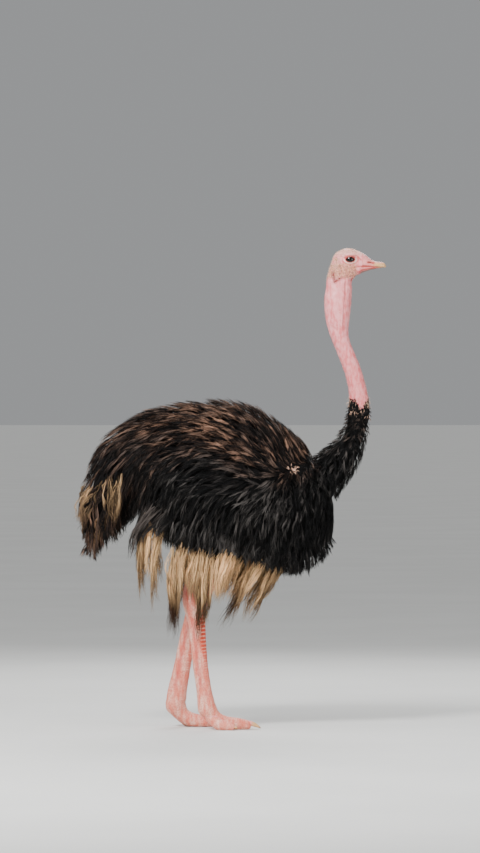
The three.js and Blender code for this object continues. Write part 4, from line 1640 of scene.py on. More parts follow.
def barb_paths(feathers: Feathers, barbs: Barbs, rng: Random) -> tuple[Array, ...]:
    """The path of each barb: it leaves the shaft at a share t0 and lags out to one side as it runs on.

    path(k) = shaft(t0 + (t1 - t0) k) + across * spread * (1.15 - 0.65 t1) * (0.25 + 0.75 k^0.8)
    + normal * lift * k.

    Args:
        feathers: the shafts.
        barbs: the kind of barbs.
        rng: the source of the scatter.

    Returns:
        The paths (strands, points, 3), the way each barb's flat side looks (strands, 3), the share of the
        shaft at each point (strands, points) and the number of each barb's feather.
    """
    n, j = len(feathers.lines), barbs.count
    t0 = rng.uniform(0.0, barbs.start, (n, j))
    t1 = np.minimum(t0 + rng.uniform(*barbs.reach, (n, j)), 1.0)
    k = np.linspace(0, 1, barbs.segments + 1)
    t = t0[..., None] + (t1 - t0)[..., None] * k
    shaft, normal = place_on(feathers.lines, t), unit(place_on(feathers.normals, t))
    back, ahead = (place_on(feathers.lines, np.clip(t + step, 0, 1)) for step in (-0.08, 0.08))
    across = unit(np.cross(unit(ahead - back), normal))
    size = rng.normal(0, 1, (n, j)).clip(-1.8, 1.8)
    swing = (barbs.spread * size * (1.15 - 0.65 * t1))[..., None] * (0.25 + 0.75 * k**0.8)
    phase = rng.uniform(0, TURN, (n, j, 1))
    swing = swing + barbs.curl * np.sin(phase + k * rng.uniform(3, 8, (n, j, 1))) * k
    rise = barbs.lift * rng.normal(0.15, 0.6, (n, j, 1)) * k
    path = shaft + across * swing[..., None] + normal * rise[..., None]
    which = np.repeat(np.arange(n), j)
    return path.reshape(n * j, len(k), 3), normal[:, :, 0].reshape(n * j, 3), t.reshape(n * j, len(k)), which


@dataclass
class Strands:
    """Many thin closed strands: three-sided, widest at a third of their length, sharp at the tip."""

    path: Array  # centre lines (strands, points, 3)
    face: Array  # the way the flat side looks (strands, 3)
    width: Array  # full widths
    roots: Array  # places of the roots on the form's own unwrap, from 0 to 1 (strands, 2)
    numbers: Numbers  # for each strand, or for each strand and point
    patch: float = 0.003  # how large a strand is on the OFBake map

    def corners(self) -> Array:
        """The points of all strands, three round each point of the path and one at the tip.

        Returns:
            The points (strands, points of a strand, 3).
        """
        n, m = self.path.shape[:2]
        ahead = unit(np.gradient(self.path, axis=1))
        across = unit(np.cross(ahead, self.face[:, None]))
        up = np.cross(across, ahead)[:, :-1]
        across, body = across[:, :-1], self.path[:, :-1]
        t = np.linspace(0, 1, m)[:-1]
        half = (self.width[:, None] / 2) * (0.55 + 0.45 * np.sin(math.pi * np.minimum(t / 0.7, 1)))
        half = (half * (1 - t**3))[..., None]
        round_ = np.stack([body + across * half, body - across * half, body + up * half * 0.7], 2)
        return np.concatenate([round_.reshape(n, -1, 3), self.path[:, -1:]], 1)

    def build(self, drawing: Drawing, name: str) -> Piece:
        """One mesh of all strands with its OFBake map, where each strand is a patch at its root's place.

        Args:
            drawing: makes the mesh.
            name: the piece's name.

        Returns:
            The object.
        """
        n, m = self.path.shape[:2]
        size, end = 3 * (m - 1) + 1, (m - 2) * 3
        i, j = np.arange(m - 2)[:, None] * 3, np.arange(3)[None]
        k = (j + 1) % 3
        quads = np.stack([i + j, i + 3 + j, i + 3 + k, i + k], -1).reshape(-1, 4)
        tips = np.array([[end + c, size - 1, end + (c + 1) % 3] for c in range(3)])
        caps = np.array([[0, 1, 2]])
        first = (np.arange(n) * size)[:, None, None]
        faces = [(first + f[None]).reshape(-1, f.shape[1]) for f in (quads, tips, caps)]
        obj = drawing.mesh(name, self.corners().reshape(-1, 3), faces)
        levels = np.concatenate([np.repeat(np.arange(m - 1), 3), [m - 1]])
        set_values(obj, **{key: v[:, levels] if v.ndim == 2 else np.repeat(v[:, None], size, 1)
                           for key, v in self.numbers.items()})
        row = levels / (m - 1)
        uv_quads = np.stack([quads[:, :1] % 3 + np.array([0, 0, 1, 1]), row[quads]], -1)
        uv_tips = np.array([[[c, row[end]], [c + 0.5, 1.0], [c + 1, row[end]]] for c in range(3)], float)
        uv_caps = np.array([[[0, 0], [3, 0], [1.5, 0.2]]], float)
        scale = np.array([self.patch / 3, self.patch])
        patches = (uv_quads, uv_tips, uv_caps)
        uv = [(self.roots[:, None, None] + each[None] * scale).reshape(-1, 2) for each in patches]
        layer = obj.data.uv_layers.new(name="OFBake")
        layer.uv.foreach_set("vector", np.concatenate(uv).astype(np.float32).ravel())
        return obj


def feather_piece(kind: Coat | Curtain, feathers: Feathers, drawing: Drawing, material: Material,
                  rng: Random) -> None:
    """Makes a piece of feathers: their barbs as one strand mesh, coloured barb by barb and dressed.

    Args:
        kind: the stretch of plumage, which gives the barbs, the name and the nodes.
        feathers: its shafts.
        drawing: makes the mesh.
        material: the finish.
        rng: the source of the scatter.
    """
    path, face, along, which = barb_paths(feathers, kind.barbs, rng)
    path[..., 2] = np.maximum(path[..., 2], 4.0)
    n = len(path)
    low, high = feathers.roots.min(0), feathers.roots.max(0)
    roots = 0.01 + 0.977 * (feathers.roots - low) / np.maximum(high - low, 1e-6)
    roots = np.clip(roots[which] + rng.normal(0, 0.004, (n, 2)), 0.002, 0.994)
    numbers = {
        "tone": feathers.tone[which],
        "pale": feathers.pale[which],
        "ends": feathers.ends[which],
        "shade": np.clip(feathers.shade[which] + rng.normal(0, 0.16, n), 0, 1),
        "along": along,
    }
    strands = Strands(path, face, kind.barbs.width * rng.uniform(0.6, 1.3, n), roots, numbers)
    finish_piece(strands.build(drawing, kind.name), material, kind.nodes)


@dataclass
class Coat:
    """A stretch of plumage rooted on a form and laid over it."""

    name: str
    form: Form
    feathers: int
    where: Field
    stations: tuple[float, float]
    length: Field
    barbs: Barbs = field(default_factory=Barbs)
    depth: float = BODY_DEPTH
    rise: float = 1.0
    ruffle: float = 0.15  # how far beyond the form the highest feathers stand, as a share of the depth
    stray: float = 0.26
    steps: int = 6
    hang: float = -0.35
    seed: int = 1
    nodes: tuple[str, ...] = ()
    slot: str = "wing_plumage"

    def lay(self, s: Array, a: Array, rng: Random) -> Feathers:
        """Shafts that follow the lie over the form, rising from the flesh to the outer form.

        Each step solves (Es.Es, Es.Ea; Es.Ea, Ea.Ea)(ds, da) = step (Es.d, Ea.d) for the lie's direction d.
        A shaft that passes the form's end, or comes round to its underside, falls free in a soft curve.

        Args:
            s: the roots' stations.
            a: the roots' angles.
            rng: the source of the scatter.

        Returns:
            The feathers.
        """
        n = len(s)
        root = self.form.point(s, a)
        roots = np.stack([a / TURN + 0.5, (s - self.stations[0]) / np.ptp(self.stations)], -1)
        step = self.length(root) * rng.uniform(0.8, 1.2, n) / self.steps
        stray = rng.normal(0, self.stray, n)
        bend = rng.normal(0, self.stray * 0.5, n)
        rise = self.rise * rng.uniform(0.7, 1 + self.ruffle, n)
        loose = np.zeros((n, 1), bool)
        heading, away = np.zeros((n, 3)), np.zeros((n, 3))
        lines, normals = [], []
        place = self.form.point(s, a, self.depth)
        for k in range(self.steps + 1):
            t = k / self.steps
            if k:
                laid = self.form.point(s, a, self.depth * (1 - rise * t**0.55))
                heading = unit(heading + loose * DOWN * 0.3)
                lift = self.depth * rise * (t**0.55 - ((k - 1) / self.steps) ** 0.55)
                place = np.where(loose, place + heading * step[:, None] + away * lift[:, None], laid)
            along, round_, normal = self.form.tangents(s, a)
            lines.append(place)
            normals.append(normal)
            way = lie_at(place)
            way = unit(way - normal * np.sum(way * normal, -1, keepdims=True))
            turn = (stray + bend * (t - 0.3))[:, None]
            way = way * np.cos(turn) + np.cross(normal, way) * np.sin(turn)
            ss, sa, aa = (np.sum(u * v, -1) for u, v in ((along, along), (along, round_), (round_, round_)))
            ws, wa = np.sum(along * way, -1) * step, np.sum(round_ * way, -1) * step
            det = np.maximum(ss * aa - sa * sa, 1e-6)
            ds, da = (aa * ws - sa * wa) / det, np.clip((ss * wa - sa * ws) / det, -0.6, 0.6)
            heading, away = np.where(loose, heading, way), np.where(loose, away, normal)
            loose = loose | (s + ds < 0.05)[:, None] | (normal[:, 2:] < self.hang)
            held = loose[:, 0]
            s = np.where(held, s, s + np.minimum(ds, self.form.last - 0.05 - s))
            a = np.where(held, a, a + da)
        tone, _ = coat_tone(root)
        none = np.zeros(n)
        shade = np.clip(self.shade(root) + rng.normal(0, 0.27, n), 0.0, 1)
        return Feathers(np.stack(lines, 1), np.stack(normals, 1), roots, tone, none, none, shade)

    @staticmethod
    def shade(root: Array) -> Array:
        """How light the feathers are: a painted highlight at the shoulder, the back and the shoulder band,
        least at the breast and the rump.

        Args:
            root: the feathers' roots.

        Returns:
            Their lightness, about 0 to 1.
        """
        x, _, z = root.T
        # gloss: where the painted highlight lies, below the shoulder, over the back and along the shoulder
        # band; dull: where the feathers are darker
        gloss = hill(x, z, 170, 1010, 120, 90) + 0.7 * hill(x, z, -40, 1370, 180, 80)
        gloss = gloss + 0.5 * stroke(x, z, *SHOULDER_BAND, 60)
        dull = hill(x, z, 400, 900, 120, 160) + 0.6 * hill(x, z, -400, 1180, 110, 90)
        return 0.31 + 0.18 * ripple(root, 60.0, 0.4) + 0.34 * gloss - 0.22 * dull

    def build(self, drawing: Drawing, material: Material) -> None:
        """Makes and dresses the piece, from roots kept in proportion to their share of the surface.

        Args:
            drawing: makes the mesh.
            material: the finish.
        """
        rng = np.random.default_rng(self.seed)
        s, a = self.form.scatter(self.stations, self.feathers * 6, self.feathers,
                                 lambda s, a: self.where(self.form.point(s, a)), rng)
        feather_piece(self, self.lay(s, a, rng), drawing, material, rng)


@dataclass
class Curtain:
    """Long plumes that hang free: rows of [root x, y, z, tip x, y, z, bow, tone, pale, dark ends].

    A shaft is root + (tip - root) t + bow * sin(pi t) along X, with the root's scatter and its lock's wave
    added. The shafts of a lock end close together, so the locks part and leave gaps.
    """

    name: str
    rows: Rows
    plumes: int
    barbs: Barbs
    locks: int = 10  # the tips draw together in this many locks
    scatter: tuple[float, float, float] = (12.0, 14.0, 12.0)
    inner: float = 0.45  # the share of y that the innermost plumes take
    light: float = 0.12
    sides: tuple[Side, ...] = (Side.RIGHT, Side.LEFT)
    seed: int = 1
    nodes: tuple[str, ...] = ()
    slot: str = "pale_plumage"
    steps: int = 8

    def hang(self, side: Side, count: int, rng: Random) -> Feathers:
        """The shafts of one side.

        Args:
            side: the side.
            count: how many shafts.
            rng: the source of the scatter.

        Returns:
            The feathers.
        """
        rows = np.array(self.rows, float)
        last = len(rows) - 1
        lock = rng.integers(0, self.locks, count)
        middle = (lock + 0.5) / self.locks * last
        t = middle + rng.uniform(-0.9, 0.9, count) / self.locks * last
        root = curve(rows, t)[:, 0:3]
        v = curve(rows, middle + 0.18 * (t - middle))
        tip = v[:, 3:6]
        depth_of_lock = rng.uniform(0, 1, self.locks) ** 0.7
        depth = (depth_of_lock[lock] + rng.uniform(-0.3, 0.3, count)).clip(0, 1)
        depth = self.inner + (1 - self.inner) * depth
        root[:, 1], tip[:, 1] = root[:, 1] * depth, tip[:, 1] * depth
        root = root + rng.normal(0, 1, (count, 3)) * np.array(self.scatter)
        tip = tip + rng.normal(0, 7, (self.locks, 3))[lock] + rng.normal(0, 4.5, (count, 3))
        short = rng.uniform(0.88, 1.08, self.locks)[lock] * (1 - 0.5 * rng.uniform(0, 1, count) ** 2)
        k = np.linspace(0, 1, self.steps + 1)[None]
        line = root[:, None] + ((tip - root) * short[:, None])[:, None] * k[..., None]
        bow = v[:, 6] + rng.normal(0, 6, count)
        turns = rng.uniform(1.0, 1.8, self.locks)[lock][:, None]
        phase = rng.uniform(0, 1, self.locks)[lock][:, None] + rng.normal(0, 0.06, (count, 1))
        wave = rng.uniform(3, 15, self.locks)[lock][:, None] * np.sin(TURN * (turns * k + phase))
        line[..., 0] += bow[:, None] * np.sin(math.pi * k) + wave * k
        line[..., 1] += rng.normal(0, 6, (count, 1)) * np.sin(math.pi * k) + 0.6 * wave * k
        line[..., 1] *= side.value
        angle = rng.normal(0, 0.5, count)
        normal = np.stack([np.sin(angle), side.value * np.cos(angle), np.zeros(count)], -1)
        roots = np.stack([t / last * 0.48 + (0.5 if side is Side.LEFT else 0.0), depth], -1)
        # plumes that hang further in, at a smaller depth, take painted shade; the rest of the shade varies at
        # random
        shade = self.light + rng.normal(0, 0.14, self.locks)[lock] + 0.42 * depth + rng.normal(0, 0.22, count)
        tone, pale, ends, shade = (w.clip(0, 1) for w in (*v[:, 7:].T, shade))
        return Feathers(line, np.repeat(normal[:, None], line.shape[1], 1), roots, tone, pale, ends, shade)

    def build(self, drawing: Drawing, material: Material) -> None:
        """Makes and dresses the piece, half on each side where it has two.

        Args:
            drawing: makes the meshes.
            material: the finish.
        """
        rng = np.random.default_rng(self.seed)
        sets = [self.hang(side, self.plumes // len(self.sides), rng) for side in self.sides]
        feather_piece(self, Feathers.joined(sets), drawing, material, rng)


# ---- Studio ----


@dataclass
class Studio:
    """A pale floor, soft lights and the camera, level with the bird's back and far away."""

    metres_per_pixel: float = 0.0044
    image: tuple[int, int] = (480, 853)
    ground_row: float = 728.0
    horizon_row: float = 415.0
    origin_column: float = 232.0
    distance: float = 20.0
    sensor: float = 36.0
    floor_half: float = 600.0
    lamps: tuple[tuple, ...] = (  # name, place, the point it looks at, size and watts
        ("key", (-2.5, -4.5, 5.0), (0, 0, 1.1), 1.7, 680),
        ("fill", (4.5, -4.0, 2.4), (0, 0, 1.2), 2.6, 140),
        ("back", (0.5, 4.5, 4.2), (0, 0, 1.3), 3.0, 220),
    )

    def camera(self, drawing: Drawing) -> None:
        """A long lens that frames the bird by shift, so that the view stays level.

        Args:
            drawing: tells where the drawing lies in the frame.
        """
        data = bpy.data.cameras.new("camera")
        tall = self.image[1] * self.metres_per_pixel
        data.sensor_fit = "AUTO"
        data.sensor_width = self.sensor
        data.lens = self.sensor * self.distance / tall
        data.clip_end = 2000
        data.shift_y = (self.horizon_row - self.image[1] / 2) / self.image[1]
        camera = link("camera", data)
        middle = (self.image[0] / 2 - self.origin_column) * self.metres_per_pixel + drawing.shift
        height = (self.ground_row - self.horizon_row) * self.metres_per_pixel
        camera.location = (middle, -self.distance, height)
        camera.rotation_euler = (math.pi / 2, 0, 0)
        bpy.context.scene.camera = camera

    def light(self, name: str, place: tuple, aim: tuple, size: float, watts: float) -> None:
        """A square soft light.

        Args:
            name: its name.
            place: where it hangs.
            aim: the point that it looks at.
            size: the length of its side.
            watts: its strength.
        """
        data = bpy.data.lights.new(name, "AREA")
        data.size, data.energy = size, watts
        lamp = link(name, data)
        lamp.location = place
        x, y, z = np.array(aim, float) - np.array(place, float)
        lamp.rotation_euler = (math.atan2(math.hypot(x, y), -z), 0, math.atan2(y, x) - math.pi / 2)

    def ceiling(self) -> None:
        """Broad even light from overhead, a little from the camera's side."""
        data = bpy.data.lights.new("ceiling", "SUN")
        data.energy, data.angle = 1.0, math.radians(70)
        lamp = link("ceiling", data)
        lamp.location = (0, 0, 6)
        lamp.rotation_euler = (math.radians(18), math.radians(-8), 0)

    def floor(self) -> None:
        """A wide pale floor with a faint uneven tint."""
        mesh = bpy.data.meshes.new("floor")
        half = self.floor_half
        mesh.from_pydata([(-half, -half, 0), (half, -half, 0), (half, half, 0), (-half, half, 0)], [],
                         [(0, 1, 2, 3)])
        obj = link("floor", mesh)
        material, nodes, shader = new_material("pale_floor")
        tint = nodes.step(nodes.noise(nodes.place(), 0.8, 4.0), 0.3, 0.7)
        nodes.fill(shader, Base_Color=nodes.mix(tint, (0.66, 0.66, 0.64), (0.70, 0.70, 0.68)), Roughness=0.8)
        mesh.materials.append(material)

    def build(self, drawing: Drawing) -> None:
        """Makes the camera, the floor, the lights and the sky's even light.

        Args:
            drawing: tells where the drawing lies in the frame.
        """
        self.camera(drawing)
        self.floor()
        for lamp in self.lamps:
            self.light(*lamp)
        self.ceiling()
        world = bpy.data.worlds.new("even_light")
        world.use_nodes = True
        background = world.node_tree.nodes["Background"]
        background.inputs["Color"].default_value = (0.9, 0.92, 0.94, 1)
        background.inputs["Strength"].default_value = 0.36
        bpy.context.scene.world = world


# ---- The coat's stretches ----


def window(low: float, high: float, soft: float) -> Field:
    """1 between two places along x, with soft ends."""
    return lambda p: smooth(low - soft, low + soft, p[:, 0]) * smooth(high + soft, high - soft, p[:, 0])


def upper(low: float, high: float) -> Field:
    """Where the brown feathers of the upper side grow, between two places along x."""
    span, back = window(low, high, 15), window(-420, 700, 20)
    return lambda p: span(p) * smooth(-50, 20, above(TONE_LINE, p)) * back(p)


def flank(side: Side) -> Field:
    """Where the black feathers of one wing grow, closest together at its front.

    Args:
        side: the wing's side.

    Returns:
        The weight of drawn points.
    """
    span = window(-430, 215, 20)

    def weight(p: Array) -> Array:
        """The weight: the side, below the tone line, within the span, above the wing's edge."""
        own = smooth(-2, 6, side.value * p[:, 1]) * smooth(40, -20, above(TONE_LINE, p)) * span(p)
        return own * smooth(700, 790, p[:, 2]) * (1 + 1.3 * hill(p[:, 0], p[:, 2], 170, 1050, 90, 100))

    return weight


def breast(p: Array) -> Array:
    """Where the feathers of the breast grow."""
    return smooth(190, 225, p[:, 0]) * smooth(60, 0, above(TONE_LINE, p) - 60 * (p[:, 0] > 300))


def lower_neck(p: Array) -> Array:
    """Where the neck's feathers grow: up to the ragged collar."""
    return smooth(4, -22, p[:, 2] - collar_at(p) + 12 * ripple(p, 20.0))


def body_length(base: float, more: float) -> Field:
    """Feathers that are longer towards the tail and end at the fringe."""
    return lambda p: np.minimum(base + more * smooth(250, -400, p[:, 0]),
                                28 + 0.95 * above(FRINGE, p).clip(0))


def tail_length(p: Array) -> Array:
    """The tail's feathers, which end at its fringe."""
    return np.minimum(185, 26 + 0.8 * above(TAIL_FRINGE, p).clip(0))


def neck_length(p: Array) -> Array:
    """The neck's feathers, longest at its foot."""
    return (22 + 40 * smooth(1400, 1150, p[:, 2])) * smooth(960, 1120, p[:, 2])


def coats() -> list[Coat]:
    """The stretches of coat that lie on the body and the neck.

    Returns:
        The stretches, to be built in order.
    """
    return [
        Coat("back_feathers", BODY, 1000, upper(-150, 420), (7.0, 17.9), body_length(72, 40), seed=11,
             slot="back_plumage", barbs=Barbs(spread=8, width=2.9, curl=4)),
        Coat("rump_feathers", BODY, 1000, upper(-420, -130), (5.0, 12.0), body_length(80, 45), seed=12,
             slot="back_plumage", barbs=Barbs(spread=8, width=3.0, curl=4)),
        Coat("breast_feathers", BODY, 880, breast, (11.5, 17.95), body_length(72, 30), seed=13,
             barbs=Barbs(spread=8.5, width=2.9, curl=4)),
        Coat("tail_feathers", BODY, 540, window(-800, -380, 30), (0.3, 8.6), tail_length, seed=14,
             nodes=("tail",), slot="back_plumage", ruffle=0.4,
             barbs=Barbs(count=11, segments=4, spread=9, width=3.0, curl=5)),
        *(Coat(f"wing_feathers_{side.label}", BODY, 960, flank(side), (6.0, 14.5), body_length(88, 70),
               seed=20 + side.value, nodes=(f"wing_{side.label}",), barbs=Barbs(spread=9, width=3.1, curl=4))
          for side in Side),
        Coat("neck_feathers", NECK, 850, lower_neck, (0.9, FEATHER_END + 0.4), neck_length,
             depth=20.0, rise=1.15, stray=0.36, ruffle=0.3, seed=31, hang=-2.0,
             barbs=Barbs(count=8, spread=6, width=2.6, lift=4, curl=3)),
    ]


# ---- The hanging plumes ----

THIGH_PLUMES = [  # as Curtain's rows, from the back to the front
    [-246, 170, 812, -264, 160, 375, -12, 0.2, 0.95, 1],
    [-232, 190, 806, -244, 165, 350, -8, 0.2, 0.95, 1],
    [-208, 205, 800, -222, 180, 600, -6, 0.2, 1, 0.4],
    [-160, 214, 792, -196, 182, 570, -8, 0.2, 1, 0.3],
    [-125, 218, 785, -156, 168, 440, -6, 0.2, 1, 0.7],
    [-105, 218, 785, -146, 165, 345, -4, 0.2, 1, 1], [-75, 220, 785, -122, 175, 470, -8, 0.2, 1, 0.5],
    [-50, 216, 795, -95, 180, 540, -8, 0.2, 1, 0.2], [-20, 208, 800, -70, 180, 552, -8, 0.2, 1, 0.2],
    [15, 196, 800, -45, 170, 560, -8, 0.2, 1, 0.2],
]
BELLY_PLUMES = [
    [-90, 130, 790, -135, 115, 560, -6, 0.2, 1, 0.2], [-26, 160, 785, -79, 125, 550, -8, 0.2, 1, 0.2],
    [26, 160, 775, -50, 120, 545, -10, 0.2, 0.95, 0.3], [66, 150, 765, -18, 112, 552, -8, 0.2, 0.95, 0.2],
    [86, 142, 752, -6, 104, 540, 0, 0.2, 0.95, 0.3], [90, 138, 750, -62, 95, 395, 24, 0.2, 0.9, 1],
    [100, 138, 750, 4, 95, 548, -4, 0.2, 0.95, 0.2], [130, 140, 748, 20, 95, 536, -10, 0.2, 0.95, 0.2],
    [165, 130, 742, 40, 90, 505, -10, 0.2, 0.95, 0.2], [195, 120, 738, 62, 80, 435, -6, 0.2, 0.95, 0.45],
    [218, 100, 735, 86, 70, 505, 0, 0.2, 1, 0.15], [232, 90, 738, 100, 60, 560, 6, 0.2, 0.95, 0.1],
    [244, 80, 745, 145, 60, 640, 6, 0.2, 0.95, 0.1],
]
WING_PLUMES = [
    [-384, 166, 930, -414, 158, 612, -6, 0.2, 0.95, 0.5],
    [-374, 165, 942, -384, 158, 535, -22, 0.2, 1, 0.7],
    [-362, 165, 915, -376, 158, 640, -12, 0.2, 1, 0.3],
    [-330, 168, 885, -352, 165, 610, -12, 0.2, 0.9, 0.4],
    [-316, 170, 880, -322, 164, 500, -26, 0.2, 1, 0.8],
    [-300, 170, 872, -300, 164, 600, -20, 0.2, 1, 0.4],
]
WING_EDGE = [
    [-335, 205, 1005, -452, 158, 712, -26, 0.05, 0, 0],
    [-330, 205, 990, -442, 158, 745, -24, 0.05, 0, 0],
    [-300, 215, 960, -425, 165, 790, -20, 0.05, 0, 0],
    [-250, 234, 920, -300, 226, 798, -8, 0, 0, 0],
    [-190, 242, 900, -226, 238, 772, -6, 0, 0, 0],
    [-125, 244, 880, -150, 242, 742, -4, 0, 0, 0], [-75, 242, 870, -96, 240, 732, -4, 0, 0, 0],
    [-25, 240, 865, -44, 234, 768, -4, 0, 0, 0], [30, 232, 845, 8, 222, 742, -4, 0, 0, 0],
    [90, 222, 830, 62, 208, 716, -4, 0, 0, 0], [140, 208, 812, 122, 190, 694, -4, 0, 0, 0],
    [190, 190, 795, 176, 168, 678, -2, 0, 0, 0], [238, 165, 780, 228, 140, 672, -2, 0, 0, 0],
    [290, 140, 775, 284, 116, 676, -2, 0, 0, 0],
]
TAIL_PLUMES = [
    [-618, 130, 1060, -674, 90, 912, -18, 0.9, 0.55, 0.3],
    [-610, 120, 1010, -660, 80, 862, -16, 0.8, 0.4, 0.5],
    [-600, 110, 970, -650, 70, 812, -12, 0.7, 0.3, 0.6],
    [-580, 110, 930, -616, 70, 764, -8, 0.8, 0.25, 0.6], [-560, 110, 930, -590, 80, 792, -6, 0.9, 0.2, 0.6],
    [-540, 130, 960, -566, 110, 815, -4, 0.4, 0.15, 0.8],
    [-505, 125, 980, -521, 110, 796, 4, 0.2, 0.1, 0.6], [-480, 120, 990, -490, 110, 850, 6, 0.1, 0, 0],
    [-450, 120, 1000, -462, 105, 868, 8, 0.05, 0, 0],
    [-425, 110, 1010, -434, 100, 940, 4, 0.05, 0, 0],
]
UNDER_TAIL_PLUMES = [
    [-572, 196, 1095, -586, 196, 925, -6, 0.5, 0.4, 0.5],
    [-548, 202, 1105, -560, 204, 872, -4, 0.4, 0.75, 0.4],
    [-530, 204, 1100, -545, 206, 850, -4, 0.4, 0.6, 0.5],
    [-510, 202, 1105, -520, 204, 856, -2, 0.4, 0.75, 0.4],
    [-492, 198, 1090, -500, 198, 885, 0, 0.3, 0.5, 0.4],
    [-620, 160, 1070, -672, 120, 925, -18, 0.9, 0.6, 0.4],
    [-628, 140, 1040, -664, 100, 880, -16, 0.9, 0.45, 0.6],
    [-610, 150, 1000, -646, 110, 850, -10, 0.9, 0.3, 0.8],
]
LONG = Barbs(count=14, segments=5, width=2.0, spread=8, lift=6, curl=9, start=0.6, reach=(0.3, 0.6))
STRINGY = Barbs(count=14, segments=5, width=1.9, spread=6, lift=6, curl=10, start=0.65, reach=(0.25, 0.5))
RAGGED = Barbs(count=12, segments=4, width=2.6, spread=8, curl=6)
EDGING = Barbs(count=12, segments=4, width=2.8, spread=10, curl=4)


def curtains() -> list[Curtain]:
    """The plumes that hang free under the body, from the wings and from the tail.

    Returns:
        The curtains, to be built in order.
    """
    made = [
        Curtain("belly_plume_fringe", BELLY_PLUMES, 290, LONG, locks=30, inner=0.0, light=0.08, seed=47,
                nodes=("belly_plumes",)),
        Curtain("tail_fringe", TAIL_PLUMES, 160, RAGGED, locks=16, inner=0.0, seed=44, slot="back_plumage"),
        Curtain("under_tail_plumes", UNDER_TAIL_PLUMES, 66, STRINGY, locks=11, inner=0.9, light=-0.22,
                seed=45, nodes=("tail_plumes",)),
    ]
    for side in Side:
        end, only = side.label, (side,)
        made += [
            Curtain(f"thigh_plume_fringe_{end}", THIGH_PLUMES, 172, LONG, locks=15, inner=0.7, sides=only,
                    seed=50 + side.value, nodes=(f"thigh_plumes_{end}",)),
            Curtain(f"wing_plume_fringe_{end}", WING_PLUMES, 46, STRINGY, locks=6, scatter=(6.0, 8.0, 12.0),
                    inner=0.9, light=0.14, sides=only, seed=53 + side.value, nodes=(f"wing_plumes_{end}",)),
            Curtain(f"wing_edge_{end}", WING_EDGE, 150, EDGING, locks=22, scatter=(14.0, 6.0, 14.0),
                    inner=0.92, sides=only, seed=56 + side.value, slot="wing_plumage"),
        ]
    return made


# ---- Bristles and lashes ----


@dataclass
class Bristles:
    """Short single strands on bare or thinly feathered skin."""

    name: str
    form: Form
    count: int
    stations: tuple[float, float]
    where: Weight
    way: tuple[float, float, float]
    length: tuple[float, float]
    width: tuple[float, float]
    pale: tuple[float, float] = (0.7, 1.0)
    depth: float = 1.5
    lift: float = 1.8
    scatter: float = 0.25
    seed: int = 61
    nodes: tuple[str, ...] = ()

    def build(self, drawing: Drawing, material: Material) -> None:
        """Scatters roots by weight; each bristle leans one way along the form and stands off it a little.

        A bristle is root + way * length * k + normal * lift * sin(0.6 pi k).

        Args:
            drawing: makes the mesh.
            material: the finish.
        """
        rng = np.random.default_rng(self.seed)
        n = self.count
        s, a = self.form.scatter(self.stations, max(n * 8, 60000), n,
                                 lambda s, a: self.where(self.form.point(s, a, self.depth), a), rng)
        _, _, normal = self.form.tangents(s, a)
        p = self.form.point(s, a, self.depth)
        way = np.array(self.way) - normal * (normal @ np.array(self.way))[:, None]
        way = unit(unit(way) + rng.normal(0, self.scatter, p.shape))
        length = rng.uniform(*self.length, n)[:, None, None]
        k = np.linspace(0, 1, 4)[None, :, None]
        path = p[:, None] + way[:, None] * length * k
        path = path + normal[:, None] * self.lift * np.sin(math.pi * k * 0.6)
        numbers = {
            "tone": np.full(n, 0.6),
            "pale": rng.uniform(*self.pale, n),
            "ends": np.zeros(n),
            "shade": rng.uniform(0.55, 1.0, n),
            "along": np.repeat(k[..., 0], n, 0),
        }
        roots = np.stack([(a + math.pi) / TURN, (s - s.min()) / np.ptp(s)], -1) * 0.98 + 0.005
        strands = Strands(path, normal, rng.uniform(*self.width, n), roots, numbers)
        finish_piece(strands.build(drawing, self.name), material, self.nodes)


def head_down(p: Array, a: Array) -> Array:
    """Where down grows on the head: the crown, the ear and under the jaw, but not over the eye.

    Args:
        p: drawn points.
        a: their angles round the neck form.

    Returns:
        The weight of the points.
    """
    x, _, z = p.T
    crown = smooth(1.9, 0.8, np.abs(a)) * smooth(1950, 2040, z) * smooth(578, 545, x)
    ear, jaw = 2.0 * hill(x, z, *EAR, 13, 15), 1.2 * stroke(x, z, 470, 1990, 536, 1996, 12)
    off_eye = np.hypot((x - DRAWN_EYE_X) / 27, (z - DRAWN_EYE_Z) / 20) > 1
    return (crown + ear + jaw + 0.25 * smooth(1965, 1990, z) * smooth(560, 530, x) + 0.02) * off_eye


def bare_neck(p: Array, a: Array) -> Array:
    """Where bristles grow on the neck: most at its foot and down the throat."""
    return smooth(1950, 1900, p[:, 2]) * (0.15 + smooth(1720, 1450, p[:, 2]) + 0.6 * (np.abs(a) > 2.5))


def spots(p: Array, places: Rows) -> Array:
    """A bell round each of some places [x, z, width], seen from the side, added up."""
    return sum(bell(np.hypot(p[:, 0] - x, p[:, 2] - z), width) for x, z, width in places)


def collar_edge(p: Array, _: Array) -> Array:
    """Where bristles grow at the collar: along its edge and in a few specks."""
    specks = spots(p, ((515, 1368, 9), (590, 1373, 9), (475, 1285, 9), (530, 1395, 9)))
    return bell(p[:, 2] - collar_at(p) + 8, 22) + 1.5 * specks


def shoulder_spots(p: Array, _: Array) -> Array:
    """Where the pale tuft grows at the shoulder."""
    return spots(p, ((250, 1144, 6), (276, 1136, 9), (262, 1124, 5), (292, 1150, 4)))


